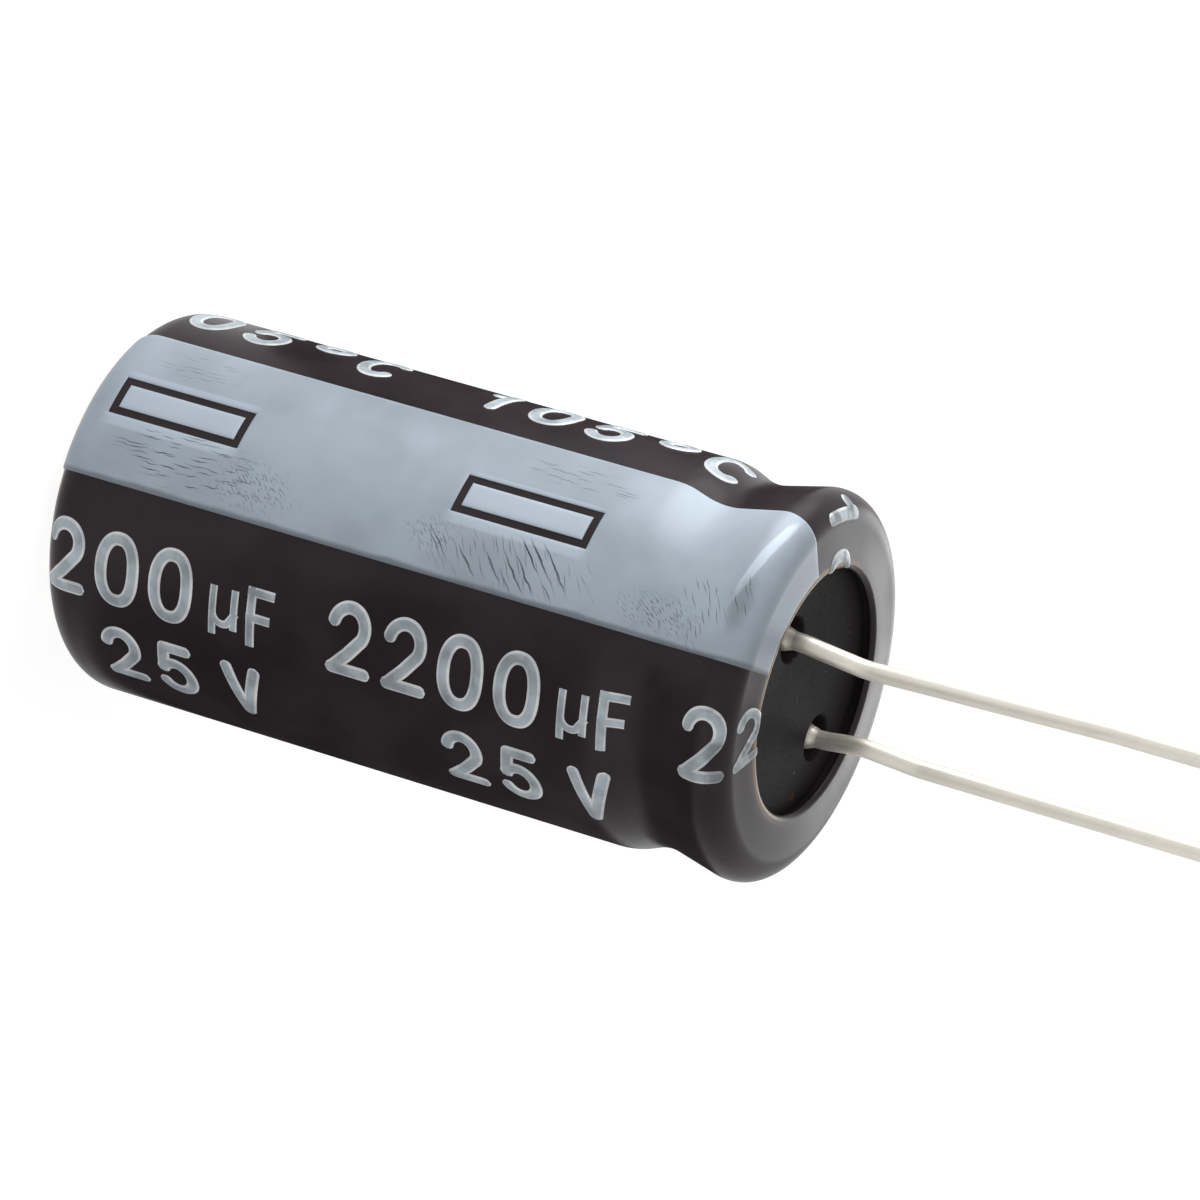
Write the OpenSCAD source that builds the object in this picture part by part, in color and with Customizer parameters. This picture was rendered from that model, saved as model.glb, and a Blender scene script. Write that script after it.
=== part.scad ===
// Radial electrolytic capacitor, standing on its closed end with its leads up.
// Millimetres. The can's axis is Z, and the anode lead is on the +X side.

/* [Can] */
// Outside diameter of the can's straight wall
can_d = 12.5; // [10:0.5:18]
// Height of the can, from its closed end to the top of its curled rim
can_h = 24.75; // [20:0.25:50]
// Thickness of the can's sheet
can_t = 0.3; // [0.2:0.05:0.35]
// Outside radius between the wall and the closed end
base_r = 1; // [0.6:0.1:1.6]

/* [Bead and rim] */
// Depth of the bead that is rolled into the wall to grip the seal
bead_depth = 0.4; // [0.3:0.02:0.8]
// Radius at the bottom of the bead
bead_r = 2.1; // [0.8:0.1:2.4]
// Slope of the bead's lower flank from the wall
bead_low_slope = 22; // [18:1:40]
// Slope of the bead's upper flank from the wall
bead_high_slope = 13.5; // [12:0.5:45]
// Radius where the straight wall turns into the bead
bead_shoulder_r = 2; // [0.6:0.1:2.4]
// How far the rim stands out beyond the straight wall
rim_out = 0.03; // [0:0.01:0.3]
// Radius where the bead turns into the rim
rim_shoulder_r = 0.9; // [0.4:0.05:1.2]
// Outside radius of the rim's round
rim_r = 0.85; // [0.6:0.05:1.1]
// Width of the rim, from its outside to the inner side of its curled edge
rim_w = 1.6; // [1.6:0.02:2.4]
// Radius of the curled edge
curl_r = 0.45; // [0.4:0.05:0.6]
// How far the curled edge reaches down from the rim's top
curl_h = 0.7; // [0.55:0.05:0.9]

/* [Vent] */
// Length of each line of the cross scored into the closed end
vent_l = 7.6; // [4:0.2:8.4]
// Depth of the scored lines
vent_depth = 0.15; // [0.05:0.01:0.18]

/* [Sleeve] */
// Thickness of the shrunk sleeve
sleeve_t = 0.15; // [0.1:0.01:0.3]
// Width of the sleeve's lap on the rim, from the rim's outside
top_lap = 2.1; // [1.8:0.05:2.6]
// Width of the sleeve's lap on the closed end, from the wall's outside
base_lap = 1.75; // [1.7:0.05:2.2]

/* [Polarity stripe] */
// Width of the stripe, measured round the sleeve
stripe_w = 5.8; // [3:0.1:8]
// Turn of the stripe's middle from the anode lead
stripe_turn = 186.5; // [170:0.5:200]
// Height at which the stripe ends under the round of the closed end
stripe_z = 0.08; // [0.06:0.02:0.6]
// Thickness of the ink
ink_t = 0.05; // [0.04:0.01:0.08]
// Distance from one repeat of the print to the next
print_pitch = 12.66; // [10:0.01:16]
// Height of the first minus sign's lower end
sign_z = 1.2; // [1.1:0.1:5]
// Length of a minus sign
sign_l = 4.84; // [3:0.02:7]
// Width of a minus sign
sign_w = 1.4; // [0.8:0.1:2.4]
// Width of the bare line round a minus sign
sign_line = 0.27; // [0.15:0.01:0.35]

/* [Seal] */
// Height of the rubber seal
seal_h = 4.8; // [3.6:0.1:5.4]
// How far the seal's face lies below the rim's top
seal_drop = 0.3; // [0.1:0.05:0.4]
// Bevel round the seal's inner face
seal_bevel = 0.3; // [0.1:0.05:0.5]

/* [Wound element] */
// Gap between the wound element and the can's wall
wind_gap = 0.25; // [0.1:0.05:0.6]
// Gap between the wound element and the can's floor
floor_gap = 0.1; // [0.05:0.05:0.6]
// Gap between the wound element's edge and the round of the can's floor
corner_gap = 0.05; // [0.02:0.01:0.2]
// Space between the wound element and the seal
head_gap = 1.6; // [1.2:0.1:3]
// Diameter of the hollow that the winding pin leaves
core_d = 2.4; // [1.6:0.1:3]
// Spacing of the turns that stand out at the ends
turn_pitch = 0.48; // [0.4:0.02:0.8]
// Depth of the gap between those turns
turn_depth = 0.3; // [0.1:0.05:0.6]
// Width of that gap
turn_gap = 0.14; // [0.08:0.02:0.2]
// Thickness of the closing tape
tape_t = 0.06; // [0.04:0.01:0.1]
// Distance from each end of the element to the tape
tape_inset = 2.5; // [1:0.5:5]

/* [Tabs] */
// Diameter of a tab's round post
post_d = 1.5; // [1.2:0.1:2]
// How far a post's top lies below the seal's face
post_drop = 0.6; // [0.2:0.1:1.2]
// Width of the flat part of a tab
tab_w = 2; // [1.6:0.1:2.4]
// Thickness of the flat part
tab_t = 0.25; // [0.15:0.05:0.4]
// How deep the flat part reaches into the wound element
tab_depth = 14; // [8:0.5:16]

/* [Leads] */
// Distance between the leads' centres
lead_pitch = 5; // [4.6:0.1:5.4]
// Diameter of a lead
lead_d = 0.6; // [0.4:0.05:0.8]
// Length of the anode lead above the sleeve
anode_l = 20; // [14:0.5:35]
// Length of the cathode lead above the sleeve
cathode_l = 15; // [14:0.5:30]
// Radius of the bends in the leads
bend_r = 2.5; // [1:0.5:2.5]
// Height above the seal's face at which the leads start to lean in
bend_start = 0.35; // [0.3:0.05:1]
// Lean of the anode lead towards the axis
anode_in_deg = 12; // [8:1:14]
// Lean of the anode lead on its way back
anode_out_deg = 8; // [4:1:10]
// How far the anode lead moves towards the axis
anode_shift = 0.28; // [0.26:0.01:0.5]
// Lean of the cathode lead towards the axis
cathode_in_deg = 12; // [8:1:16]
// Lean of the cathode lead on its way back
cathode_out_deg = 3; // [3:1:8]
// How far the cathode lead moves towards the axis
cathode_shift = 0.45; // [0.3:0.01:0.6]
// Diameter of the weld under a lead, which tapers up to the first bend
weld_d = 1.05; // [0.9:0.05:1.15]
// Bevel at a lead's cut end
tip_bevel = 0.08; // [0.02:0.02:0.15]

/* [Hidden] */
$fn = 64;
// Steps in each rounded corner of a revolved outline
arc_steps = 8;
// Gap left between pieces that are pressed, shrunk or printed on each other
fit = 0.01;
// How far a cutter passes the face that it opens
over = 1;
// Extra diameter of a bent stretch of wire, and how far it laps the straight ones, in degrees
bend_swell = 0.01;
bend_lap = 1;

can_r = can_d / 2;
base_z = sleeve_t;
rim_z = base_z + can_h;
rim_wide_r = can_r + rim_out;
curl_in_r = rim_wide_r - rim_w;
sleeve_top = rim_z + sleeve_t;
sleeve_r = can_r + sleeve_t;

// The bead hangs from the rim: the upper shoulder ends where the rim's round starts
rim_run = rim_shoulder_r * tan(bead_high_slope / 2);
rim_corner_z = rim_z - rim_r - rim_run;
bead_half = (bead_low_slope + bead_high_slope) / 2;
bead_skew = (bead_low_slope - bead_high_slope) / 2;
bead_v_r = can_r - bead_depth + bead_r - bead_r * cos(bead_skew) / cos(bead_half);
bead_v_z = rim_corner_z - (rim_wide_r - bead_v_r) / tan(bead_high_slope);
bead_start_z = bead_v_z - (can_r - bead_v_r) / tan(bead_low_slope);
// The lower shoulder's round takes what the round at the bead's bottom leaves of the flank
bead_flank = (can_r - bead_v_r) / sin(bead_low_slope) - bead_r * tan(bead_half);
shoulder_r = min(bead_shoulder_r, bead_flank / tan(bead_low_slope / 2));

// Corners of the can's outside, as [radius from the axis, height, rounding]
base_corner = [can_r, base_z, base_r];
bead_corners = [
    [can_r, bead_start_z, shoulder_r],
    [bead_v_r, bead_v_z, bead_r],
    [rim_wide_r, rim_corner_z, rim_shoulder_r]
];
rim_corner = [rim_wide_r, rim_z, rim_r];
curl_corner = [curl_in_r, rim_z, curl_r];
curl_end = [curl_in_r, rim_z - curl_h];

seal_z = rim_z - seal_drop;
seal_foot = seal_z - seal_h;
floor_z = base_z + can_t;
wind_r = can_r - can_t - wind_gap - tape_t - fit;
// The element stands clear of the floor and of the round between the floor and the wall
corner_in_r = base_r - can_t;
corner_reach = max(0, wind_r + corner_gap - (can_r - base_r));
corner_z = base_z + base_r - sqrt(max(0, corner_in_r ^ 2 - corner_reach ^ 2));
wind_z = max(floor_z + floor_gap, corner_z);
wind_top = seal_foot - head_gap;
post_z = seal_z - post_drop;
stripe_deg = stripe_w / sleeve_r * 180 / PI;

function turn_of(p, q, s) = let (a = q - p, b = s - q) atan2(a.x * b.y - a.y * b.x, a * b);

// Tangent length and centre of a round of radius r at corner q
function run_of(p, q, s, r) = r * abs(tan(turn_of(p, q, s) / 2));
function centre_of(p, q, s, r) =
    let (a = (q - p) / norm(q - p), side = sign(turn_of(p, q, s)))
    q - a * run_of(p, q, s, r) + side * r * [-a.y, a.x];

// Points of the round at corner q, moved outwards by off
function round_at(p, q, s, off) =
    let (
        p2 = [p.x, p.y], q2 = [q.x, q.y], s2 = [s.x, s.y],
        turn = turn_of(p2, q2, s2),
        c = centre_of(p2, q2, s2, q[2]),
        along = (q2 - p2) / norm(q2 - p2),
        first = atan2(along.y, along.x) - 90 * sign(turn),
        r = q[2] + sign(turn) * off
    )
    [for (i = [0 : arc_steps])
        let (a = first + turn * i / arc_steps) c + r * [cos(a), sin(a)]];

// A line through all corners from start to end, moved outwards by off, with its rounds
function outline(start, corners, end, off) =
    let (all = concat([start], corners, [end]), n = len(all))
    [for (i = [1 : n - 2]) each round_at(all[i - 1], all[i], all[i + 1], off)];

function reversed(list) = [for (i = [len(list) - 1 : -1 : 0]) list[i]];

// The can's whole outside, from the axis under it to the tip of its curled edge
function can_line(off) = concat(
    [[0, base_z - off]],
    outline([0, base_z], concat([base_corner], bead_corners, [rim_corner, curl_corner]),
            curl_end, off),
    [curl_end - [off, 0]]
);

// The can's outside up to the rim's flat top, which ends at radius end_r
function skin_line(start_r, end_r, off) = concat(
    [[start_r, base_z - off]],
    outline([start_r, base_z], concat([base_corner], bead_corners, [rim_corner]),
            [end_r, rim_z], off),
    [[end_r, rim_z + off]]
);

module can_solid() {
    rotate_extrude() polygon(concat(can_line(0), reversed(can_line(-can_t))));
}

// V-shaped score across the closed end
module score(turn) {
    side = vent_depth * sqrt(2);
    translate([0, 0, base_z]) rotate([0, 0, turn]) rotate([45, 0, 0])
        cube([vent_l, side, side], center = true);
}

module can() {
    color("#c6c9cb") difference() {
        can_solid();
        score(0);
        score(90);
    }
}

// Section of a skin round the can, from the radius start_r on the closed end to the
// sleeve's edge on the rim, between two distances from the can's outside
module sleeve_band(start_r, near, far) {
    end_r = rim_wide_r - top_lap;
    polygon(concat(skin_line(start_r, end_r, far), reversed(skin_line(start_r, end_r, near))));
}

module sleeve() {
    color("#2b2727") rotate_extrude() sleeve_band(can_r - base_lap, fit, sleeve_t);
}

// Ring sector, wide degrees round the stripe's middle, that cuts through the ink
module ink_window(z, high, wide) {
    rotate_extrude(angle = wide, start = stripe_turn - wide / 2)
        translate([sleeve_r - over, z]) square([2 * over, high]);
}

// Bare line round a minus sign: the sign's outside without its inside
module sign_frame(z) {
    line_deg = sign_line / sleeve_r * 180 / PI;
    sign_deg = sign_w / sleeve_r * 180 / PI;
    difference() {
        ink_window(z, sign_l, sign_deg);
        ink_window(z + sign_line, sign_l - 2 * sign_line, sign_deg - 2 * line_deg);
    }
}

module negative_stripe() {
    inner_r = can_r - base_r;
    outer_r = sleeve_r + rim_out + over;
    color("#a8b6c1") difference() {
        rotate_extrude(angle = stripe_deg, start = stripe_turn - stripe_deg / 2)
            intersection() {
                sleeve_band(inner_r, sleeve_t + fit, sleeve_t + fit + ink_t);
                translate([0, stripe_z]) square([outer_r, sleeve_top + over]);
            }
        for (z = [sign_z : print_pitch : bead_start_z - sign_l]) sign_frame(z);
    }
}

// Outside of the seal: it fills the can's wall and takes in the curled edge
function seal_line() =
    let (
        off = -can_t - fit,
        low = base_z + base_r,
        under_rim = rim_z + off,
        slot_out = curl_in_r + can_t + fit,
        slot_in = curl_in_r - fit,
        slot_z = rim_z - curl_h - fit
    )
    concat(
        [[0, low], [can_r + off, low]],
        outline([can_r, low], concat(bead_corners, [rim_corner]), [curl_in_r, rim_z], off),
        [[slot_out + curl_r - can_t, under_rim], [slot_out, under_rim - curl_r + can_t],
         [slot_out, slot_z], [slot_in, slot_z], [slot_in, seal_z], [0, seal_z]]
    );

// The part of that outline above the seal's foot, which has a bevel at the wall
module seal_section() {
    foot_r = can_r - can_t - fit - seal_bevel;
    intersection() {
        polygon(seal_line());
        polygon([[0, seal_foot], [foot_r, seal_foot], [foot_r + seal_h, seal_foot + seal_h],
                 [foot_r + seal_h, rim_z], [0, rim_z]]);
    }
}

module at_leads() {
    for (side = [-1, 1]) translate([side * lead_pitch / 2, 0, 0]) children();
}

module seal() {
    color("#1d1b1d") difference() {
        rotate_extrude() seal_section();
        at_leads() translate([0, 0, seal_foot - over])
            cylinder(d = post_d + 2 * fit, h = seal_h + 2 * over);
    }
}

// Gap between the turns at one end: half rings about two centres, each one wider
module turn_groove() {
    start_r = core_d / 2 + turn_pitch;
    halves = floor((wind_r - turn_pitch - start_r) / (turn_pitch / 2));
    for (i = [0 : halves - 1])
        translate([i % 2 == 0 ? 0 : -turn_pitch / 2, 0, 0])
            rotate_extrude(angle = 180, start = i % 2 == 0 ? 0 : 180)
                translate([start_r + floor(i / 2) * turn_pitch + (i % 2) * turn_pitch / 2, 0])
                    square([turn_gap, turn_depth]);
}

// The flat part of a tab, made larger all round by grow
module tab_flat(grow) {
    translate([-tab_t / 2 - grow, -tab_w / 2 - grow, wind_top - tab_depth - grow])
        cube([tab_t + 2 * grow, tab_w + 2 * grow, tab_depth + head_gap / 2 + 2 * grow]);
}

module winding() {
    color("#c9ad80") difference() {
        translate([0, 0, wind_z]) cylinder(r = wind_r, h = wind_top - wind_z);
        translate([0, 0, wind_z - over]) cylinder(d = core_d, h = wind_top - wind_z + 2 * over);
        translate([0, 0, wind_z]) turn_groove();
        translate([0, 0, wind_top - turn_depth]) turn_groove();
        at_leads() tab_flat(fit);
    }
}

module winding_tape() {
    low = wind_z + tape_inset;
    high = wind_top - tape_inset;
    color("#e4dcc4") translate([0, 0, low]) difference() {
        cylinder(r = wind_r + fit + tape_t, h = high - low);
        translate([0, 0, -over]) cylinder(r = wind_r + fit, h = high - low + 2 * over);
    }
}

// A tab: flat where it lies in the element, round where it passes the seal
module tab() {
    shoulder = wind_top + head_gap / 4;
    taper = head_gap / 4;
    tab_flat(0);
    translate([0, 0, shoulder]) cylinder(d1 = post_d / 2, d2 = post_d, h = taper);
    translate([0, 0, shoulder + taper]) cylinder(d = post_d, h = post_z - shoulder - taper);
}

module anode_tab() {
    color("#d3d5d6") translate([lead_pitch / 2, 0, 0]) tab();
}

module cathode_tab() {
    color("#bfc1c3") translate([-lead_pitch / 2, 0, 0]) tab();
}

// Straight wire up to its cut end, whose edge is bevelled
module pin(length) {
    shank = length - tip_bevel;
    cylinder(d = lead_d, h = shank);
    translate([0, 0, shank])
        cylinder(d1 = lead_d, d2 = lead_d - 2 * tip_bevel, h = tip_bevel);
}

// Wire that starts with a bend at the origin, upwards, and has a straight run between each
// bend and the next. A bend turns to the -X side when its angle is positive. It is a hair
// thicker than the wire and reaches a little past both ends of its arc, so that it takes in
// what it joins.
module bent_wire(turns, runs, i = 0) {
    side = sign(turns[i]) * bend_r;
    translate([-side, 0, 0]) {
        rotate([90, 0, 0])
            rotate_extrude(angle = abs(turns[i]) + 2 * bend_lap,
                           start = (side > 0 ? 0 : 180 + turns[i]) - bend_lap)
                translate([bend_r, 0]) circle(d = lead_d + bend_swell);
        if (i < len(runs)) rotate([0, -turns[i], 0]) translate([side, 0, 0]) {
            cylinder(d = lead_d, h = runs[i]);
            translate([0, 0, runs[i]]) bent_wire(turns, runs, i + 1);
        }
    }
}

// A lead from its weld on the post to its cut end, drawn on the +X side. Above the seal
// it leans in by in_deg until it has moved by shift, and comes back at out_deg. From there
// the pin is straight and stands at the standard spacing.
module lead(in_deg, out_deg, shift, tip_z) {
    turns = [in_deg, -in_deg - out_deg, out_deg];
    cut = [for (t = turns) bend_r * tan(abs(t) / 2)];
    runs = [
        shift / sin(in_deg) - cut[0] - cut[1],
        shift / sin(out_deg) - cut[1] - cut[2]
    ];
    weld_h = seal_z + bend_start - cut[0] - post_z;
    pin_z = seal_z + bend_start + shift / tan(in_deg) + shift / tan(out_deg) + cut[2];
    translate([lead_pitch / 2, 0, 0]) {
        translate([0, 0, pin_z]) pin(tip_z - pin_z);
        translate([0, 0, post_z]) {
            cylinder(d1 = weld_d, d2 = lead_d, h = weld_h);
            translate([0, 0, weld_h]) bent_wire(turns, runs);
        }
    }
}

module anode_lead() {
    color("#ddd9cf") lead(anode_in_deg, anode_out_deg, anode_shift, sleeve_top + anode_l);
}

module cathode_lead() {
    color("#ddd9cf") mirror([1, 0, 0])
        lead(cathode_in_deg, cathode_out_deg, cathode_shift, sleeve_top + cathode_l);
}

can();
sleeve();
negative_stripe();
seal();
winding();
winding_tape();
anode_tab();
cathode_tab();
anode_lead();
cathode_lead();
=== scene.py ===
"""Radial electrolytic capacitor: sleeve, print, seal and leads around its packed frame."""

import functools
import math
from contextlib import contextmanager

import bmesh
import bpy
import numpy as np
from bpy.props import FloatProperty, FloatVectorProperty, IntProperty, PointerProperty
from bpy.types import Operator, Panel, PropertyGroup
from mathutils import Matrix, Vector


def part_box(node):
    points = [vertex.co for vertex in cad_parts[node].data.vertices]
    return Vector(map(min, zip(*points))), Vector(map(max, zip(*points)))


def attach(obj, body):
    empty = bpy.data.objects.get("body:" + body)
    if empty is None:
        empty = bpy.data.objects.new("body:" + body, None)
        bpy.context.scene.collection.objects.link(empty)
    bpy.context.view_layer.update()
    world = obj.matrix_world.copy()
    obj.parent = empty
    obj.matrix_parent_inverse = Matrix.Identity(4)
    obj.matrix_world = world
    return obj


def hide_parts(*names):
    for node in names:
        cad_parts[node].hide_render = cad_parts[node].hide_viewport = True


bl_info = {
    "name": "Electrolytic capacitor",
    "version": (1, 0, 0),
    "blender": (4, 5, 0),
    "location": "View3D > Sidebar > Capacitor",
    "description": "Dresses the capacitor's frame with its sleeve, print, seal, leads and stage",
    "category": "Object",
}

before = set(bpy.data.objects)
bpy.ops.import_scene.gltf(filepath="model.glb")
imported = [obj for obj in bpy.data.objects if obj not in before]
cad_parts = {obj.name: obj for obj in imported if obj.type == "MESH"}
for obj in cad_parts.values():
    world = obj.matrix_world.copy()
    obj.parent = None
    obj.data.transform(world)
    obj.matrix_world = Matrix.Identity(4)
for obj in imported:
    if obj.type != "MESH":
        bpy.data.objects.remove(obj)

MM = 0.001
BODY = "root"
# Number of minus signs along the stripe
SIGNS = 2

CAN_LOW, CAN_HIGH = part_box("can")
SEAL_LOW, SEAL_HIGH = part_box("seal")
POST_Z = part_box("anode_lead")[0].z
ANODE_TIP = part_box("anode_lead")[1].z
CATHODE_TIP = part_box("cathode_lead")[1].z

# How finely the round forms are divided
SIDES = 288
ARC_TURN = math.radians(4.5)
COLLAR_TURN = math.radians(18)
BEND_TURN = math.radians(1.5)
WALL_STEP = 0.6 * MM
WIRE_STEP = 0.2 * MM
STROKE_STEP = 0.06 * MM
CUT_STEPS = 4
HOLE_SIDES = 72
HOLE_STEPS = 5

SMOOTH_BELOW = math.radians(38)
SAME_POINT = 0.0001 * MM
# Share of the lap's width over which its outside falls
FALL_REACH = 0.6
# Outward part of a normal above which a point lies on the straight wall
ON_WALL = 0.9999
# Waves of a cut edge: share, count round the edge and how fast each follows the phase
EDGE_WAVES = [(0.45, 3, 1), (0.3, 5, 2.1), (0.15, 9, 3.7), (0.1, 14, 5.3)]
TOP_PHASE, BASE_PHASE = 0.7, 2.9


def size(name, description, default_mm):
    """A length that a user can change, given in millimetres and kept in metres."""
    return FloatProperty(
        name=name, description=description, default=default_mm * MM, unit="LENGTH", precision=5
    )


def angle(name, description, degrees):
    """An angle that a user can change, given in degrees."""
    return FloatProperty(
        name=name, description=description, default=math.radians(degrees),
        subtype="ANGLE", unit="ROTATION",
    )


def share(name, description, default):
    """A plain number between 0 and 1 that a user can change."""
    return FloatProperty(
        name=name, description=description, default=default, min=0, max=1, subtype="FACTOR"
    )


def colour(name, description, red, green, blue):
    """A colour that a user can change, given as the 0 to 255 values seen on a screen."""
    linear = [channel_light(value / 255) for value in (red, green, blue)]
    return FloatVectorProperty(
        name=name, description=description, default=linear, subtype="COLOR", min=0, max=1
    )


def channel_light(value):
    """Light of one screen colour channel, both from 0 to 1."""
    if value <= 0.04045:
        return value / 12.92
    return ((value + 0.055) / 1.055) ** 2.4


class CanSizes(PropertyGroup):
    """Outline of the can that the sleeve, the ink and the seal follow."""

    can_d: size("Can diameter", "Outside diameter of the straight wall", 12.5)
    can_t: size("Sheet", "Thickness of the can's sheet", 0.3)
    base_r: size("Base round", "Outside radius between the wall and the closed end", 1.0)
    bead_depth: size("Bead depth", "Depth of the bead that grips the seal", 0.4)
    bead_r: size("Bead radius", "Radius at the bottom of the bead", 2.1)
    bead_low_slope: angle("Bead lower slope", "Slope of the bead's lower flank", 22)
    bead_high_slope: angle("Bead upper slope", "Slope of the bead's upper flank", 13.5)
    bead_shoulder_r: size("Bead shoulder", "Radius where the wall turns into the bead", 2.0)
    rim_shoulder_r: size("Rim shoulder", "Radius where the bead turns into the rim", 0.9)
    rim_r: size("Rim round", "Outside radius of the rim's round", 0.85)
    rim_w: size("Rim width", "Width of the rim up to its curled edge", 1.6)
    curl_h: size("Curl height", "How far the curled edge reaches down", 0.7)


class SleeveSizes(PropertyGroup):
    """The shrunk sleeve and the stripe printed on it."""

    sleeve_t: size("Film", "Thickness of the shrunk sleeve", 0.15)
    fit: size("Fit", "Gap between pieces that are shrunk or printed on each other", 0.01)
    top_lap: size("Rim lap", "Width of the lap on the rim", 2.1)
    base_lap: size("Base lap", "Width of the lap on the closed end", 1.75)
    cut_round: size("Cut edge round", "Rounding of the film's cut edges", 0.04)
    cut_wave: size("Cut edge wave", "How far the shrunk edges stray from a true circle", 0.02)
    cut_reach: size("Wave reach", "How far from a cut edge its waves die away", 0.7)
    lap_fall: size("Lap fall", "How far the lap's outside falls towards the rim's round", 0.09)
    lip_turn: angle("Lip turn", "How far the lap's free edge bends down", 72)
    lip_round: size("Lip round", "Radius under the bend of the free edge", 0.05)
    lip_l: size("Lip length", "Length of the bent edge", 0.05)
    stripe_w: size("Stripe width", "Width of the stripe round the sleeve", 5.8)
    stripe_turn: angle("Stripe turn", "Turn of the stripe from the anode lead", 186.5)
    stripe_z: size("Stripe foot", "Height at which the stripe ends", 0.08)
    ink_back: size("Ink end", "How far from the lap's bend the ink ends", 0.3)
    ink_t: size("Ink", "Thickness of the stripe's ink", 0.05)
    ink_edge: size("Ink edge", "Thickness of the ink at its very edge", 0.012)
    ink_round: size("Ink round", "Width over which the ink swells to its thickness", 0.15)
    sign_z: size("Sign foot", "Height of the first minus sign", 1.2)
    sign_l: size("Sign length", "Length of a minus sign", 4.84)
    sign_w: size("Sign width", "Width of a minus sign", 1.4)
    sign_line: size("Sign line", "Width of the bare line round a minus sign", 0.27)
    print_pitch: size("Print repeat", "Distance from one repeat of the print to the next", 12.66)


class PrintSizes(PropertyGroup):
    """The rating that is printed beside the stripe."""

    rating_turn: angle("Rating baseline", "Turn of the capacitance's baseline", 248.5)
    rating_x: size("Rating start", "Height at which the capacitance starts", 10.84)
    rating_h: size("Rating height", "Height of its digits", 2.58)
    volts_turn: angle("Voltage baseline", "Turn of the voltage's baseline", 277.2)
    volts_x: size("Voltage start", "Height at which the voltage starts", 14.95)
    volts_h: size("Voltage height", "Height of its digits", 2.4)
    heat_turn: angle("Temperature baseline", "Turn of the temperature's baseline", 149.7)
    heat_x: size("Temperature start", "Height at which the temperature starts", 11.6)
    heat_h: size("Temperature height", "Height of its digits", 2.35)
    digit_w: size("Digit width", "Width of a digit", 1.65)
    digit_pitch: size("Digit pitch", "Distance from one digit to the next", 2.02)
    stroke_w: size("Stroke", "Width of a stroke", 0.45)
    stroke_t: size("Stroke height", "Height of a stroke above the film", 0.045)
    copies: IntProperty(name="Repeats", description="Repeats of the print", default=3, min=1)


class SealSizes(PropertyGroup):
    """The rubber seal and its two holes."""

    hole_d: size("Hole", "Diameter of the holes for the posts", 1.52)
    hole_round: size("Hole round", "Rounding of the holes' edges", 0.09)
    seal_bevel: size("Bevel", "Bevel round the inner face", 0.3)
    collar_w: size("Collar width", "Width of the rubber that swells up inside the curl", 0.44)
    collar_gap: size("Collar gap", "Gap between that rubber and the lap above it", 0.02)
    collar_round: size("Collar round", "Rounding of its edge and its foot", 0.06)


class LeadSizes(PropertyGroup):
    """The two wires."""

    lead_pitch: size("Pitch", "Distance between the leads' centres", 5.0)
    lead_d: size("Wire", "Diameter of a lead", 0.6)
    weld_d: size("Weld", "Diameter of the weld under a lead", 1.05)
    bend_r: size("Bend", "Radius of the bends", 2.5)
    bend_start: size("Bend start", "Height above the seal at which the leads lean in", 0.35)
    anode_in: angle("Anode lean", "Lean of the anode lead towards the axis", 12)
    anode_out: angle("Anode return", "Lean of the anode lead on its way back", 8)
    anode_shift: size("Anode shift", "How far the anode lead moves inwards", 0.28)
    cathode_in: angle("Cathode lean", "Lean of the cathode lead towards the axis", 12)
    cathode_out: angle("Cathode return", "Lean of the cathode lead on its way back", 3)
    cathode_shift: size("Cathode shift", "How far the cathode lead moves inwards", 0.45)
    tip_bevel: size("Tip bevel", "Bevel at a lead's cut end", 0.08)
    wire_sides: IntProperty(name="Sides", description="Sides of a wire", default=40, min=12)


class Finishes(PropertyGroup):
    """Colours of the materials."""

    film: colour("Film", "Shrunk film", 53, 46, 49)
    # Cut edge of the film, painted tan as lit: shown on the lit side and left off the side in
    # shade
    film_edge_lit: colour("Film edge", "Raw edge where the film was cut", 132, 108, 78)
    # Painted reflection: a pale warm ring painted round the fold at the closed end
    fold_reflection: colour("Worn fold", "Film and ink rubbed pale where the part stands", 214, 200, 178)
    ink: colour("Ink", "Silver ink of the stripe", 182, 194, 206)
    ink_wear: colour("Worn ink", "Bottom of the scratches in the ink", 42, 48, 58)
    digit_ink: colour("Digit ink", "Silver ink of the rating", 184, 195, 202)
    # Painted highlight: a paler copy of the digit ink for the sloping sides of the strokes
    digit_edge_highlight: colour("Digit edge", "Thicker ink along the edges of its strokes", 234, 240, 246)
    rubber: colour("Rubber", "Seal", 34, 31, 32)
    stain: colour("Stain", "Dried trace on the seal", 92, 50, 38)
    tin: colour("Tin", "Leads", 238, 233, 221)
    aluminium: colour("Aluminium", "Can and tabs", 205, 208, 210)
    paper: colour("Paper", "Ends of the wound element", 206, 178, 134)
    tape: colour("Tape", "Closing tape", 228, 220, 196)
    floor: colour("Floor", "Floor under the part", 150, 150, 151)


class StageSettings(PropertyGroup):
    """Camera, lamps and background."""

    lens: FloatProperty(name="Lens", description="Focal length", default=189.38, unit="CAMERA")
    azimuth: angle("Azimuth", "Turn of the camera about the can's axis", -56.3)
    floor_w: size("Floor", "Width of the floor", 2400)
    world_light: share("World light", "Light that the surroundings shed on the part", 0.34)
    floor_glow: share("Floor glow", "Share of the floor's white that no shadow dims", 0.9)


SETTINGS = {
    "capacitor_can": CanSizes,
    "capacitor_sleeve": SleeveSizes,
    "capacitor_print": PrintSizes,
    "capacitor_seal": SealSizes,
    "capacitor_leads": LeadSizes,
    "capacitor_finish": Finishes,
    "capacitor_stage": StageSettings,
}


# Outlines in the plane of radius and height

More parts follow.
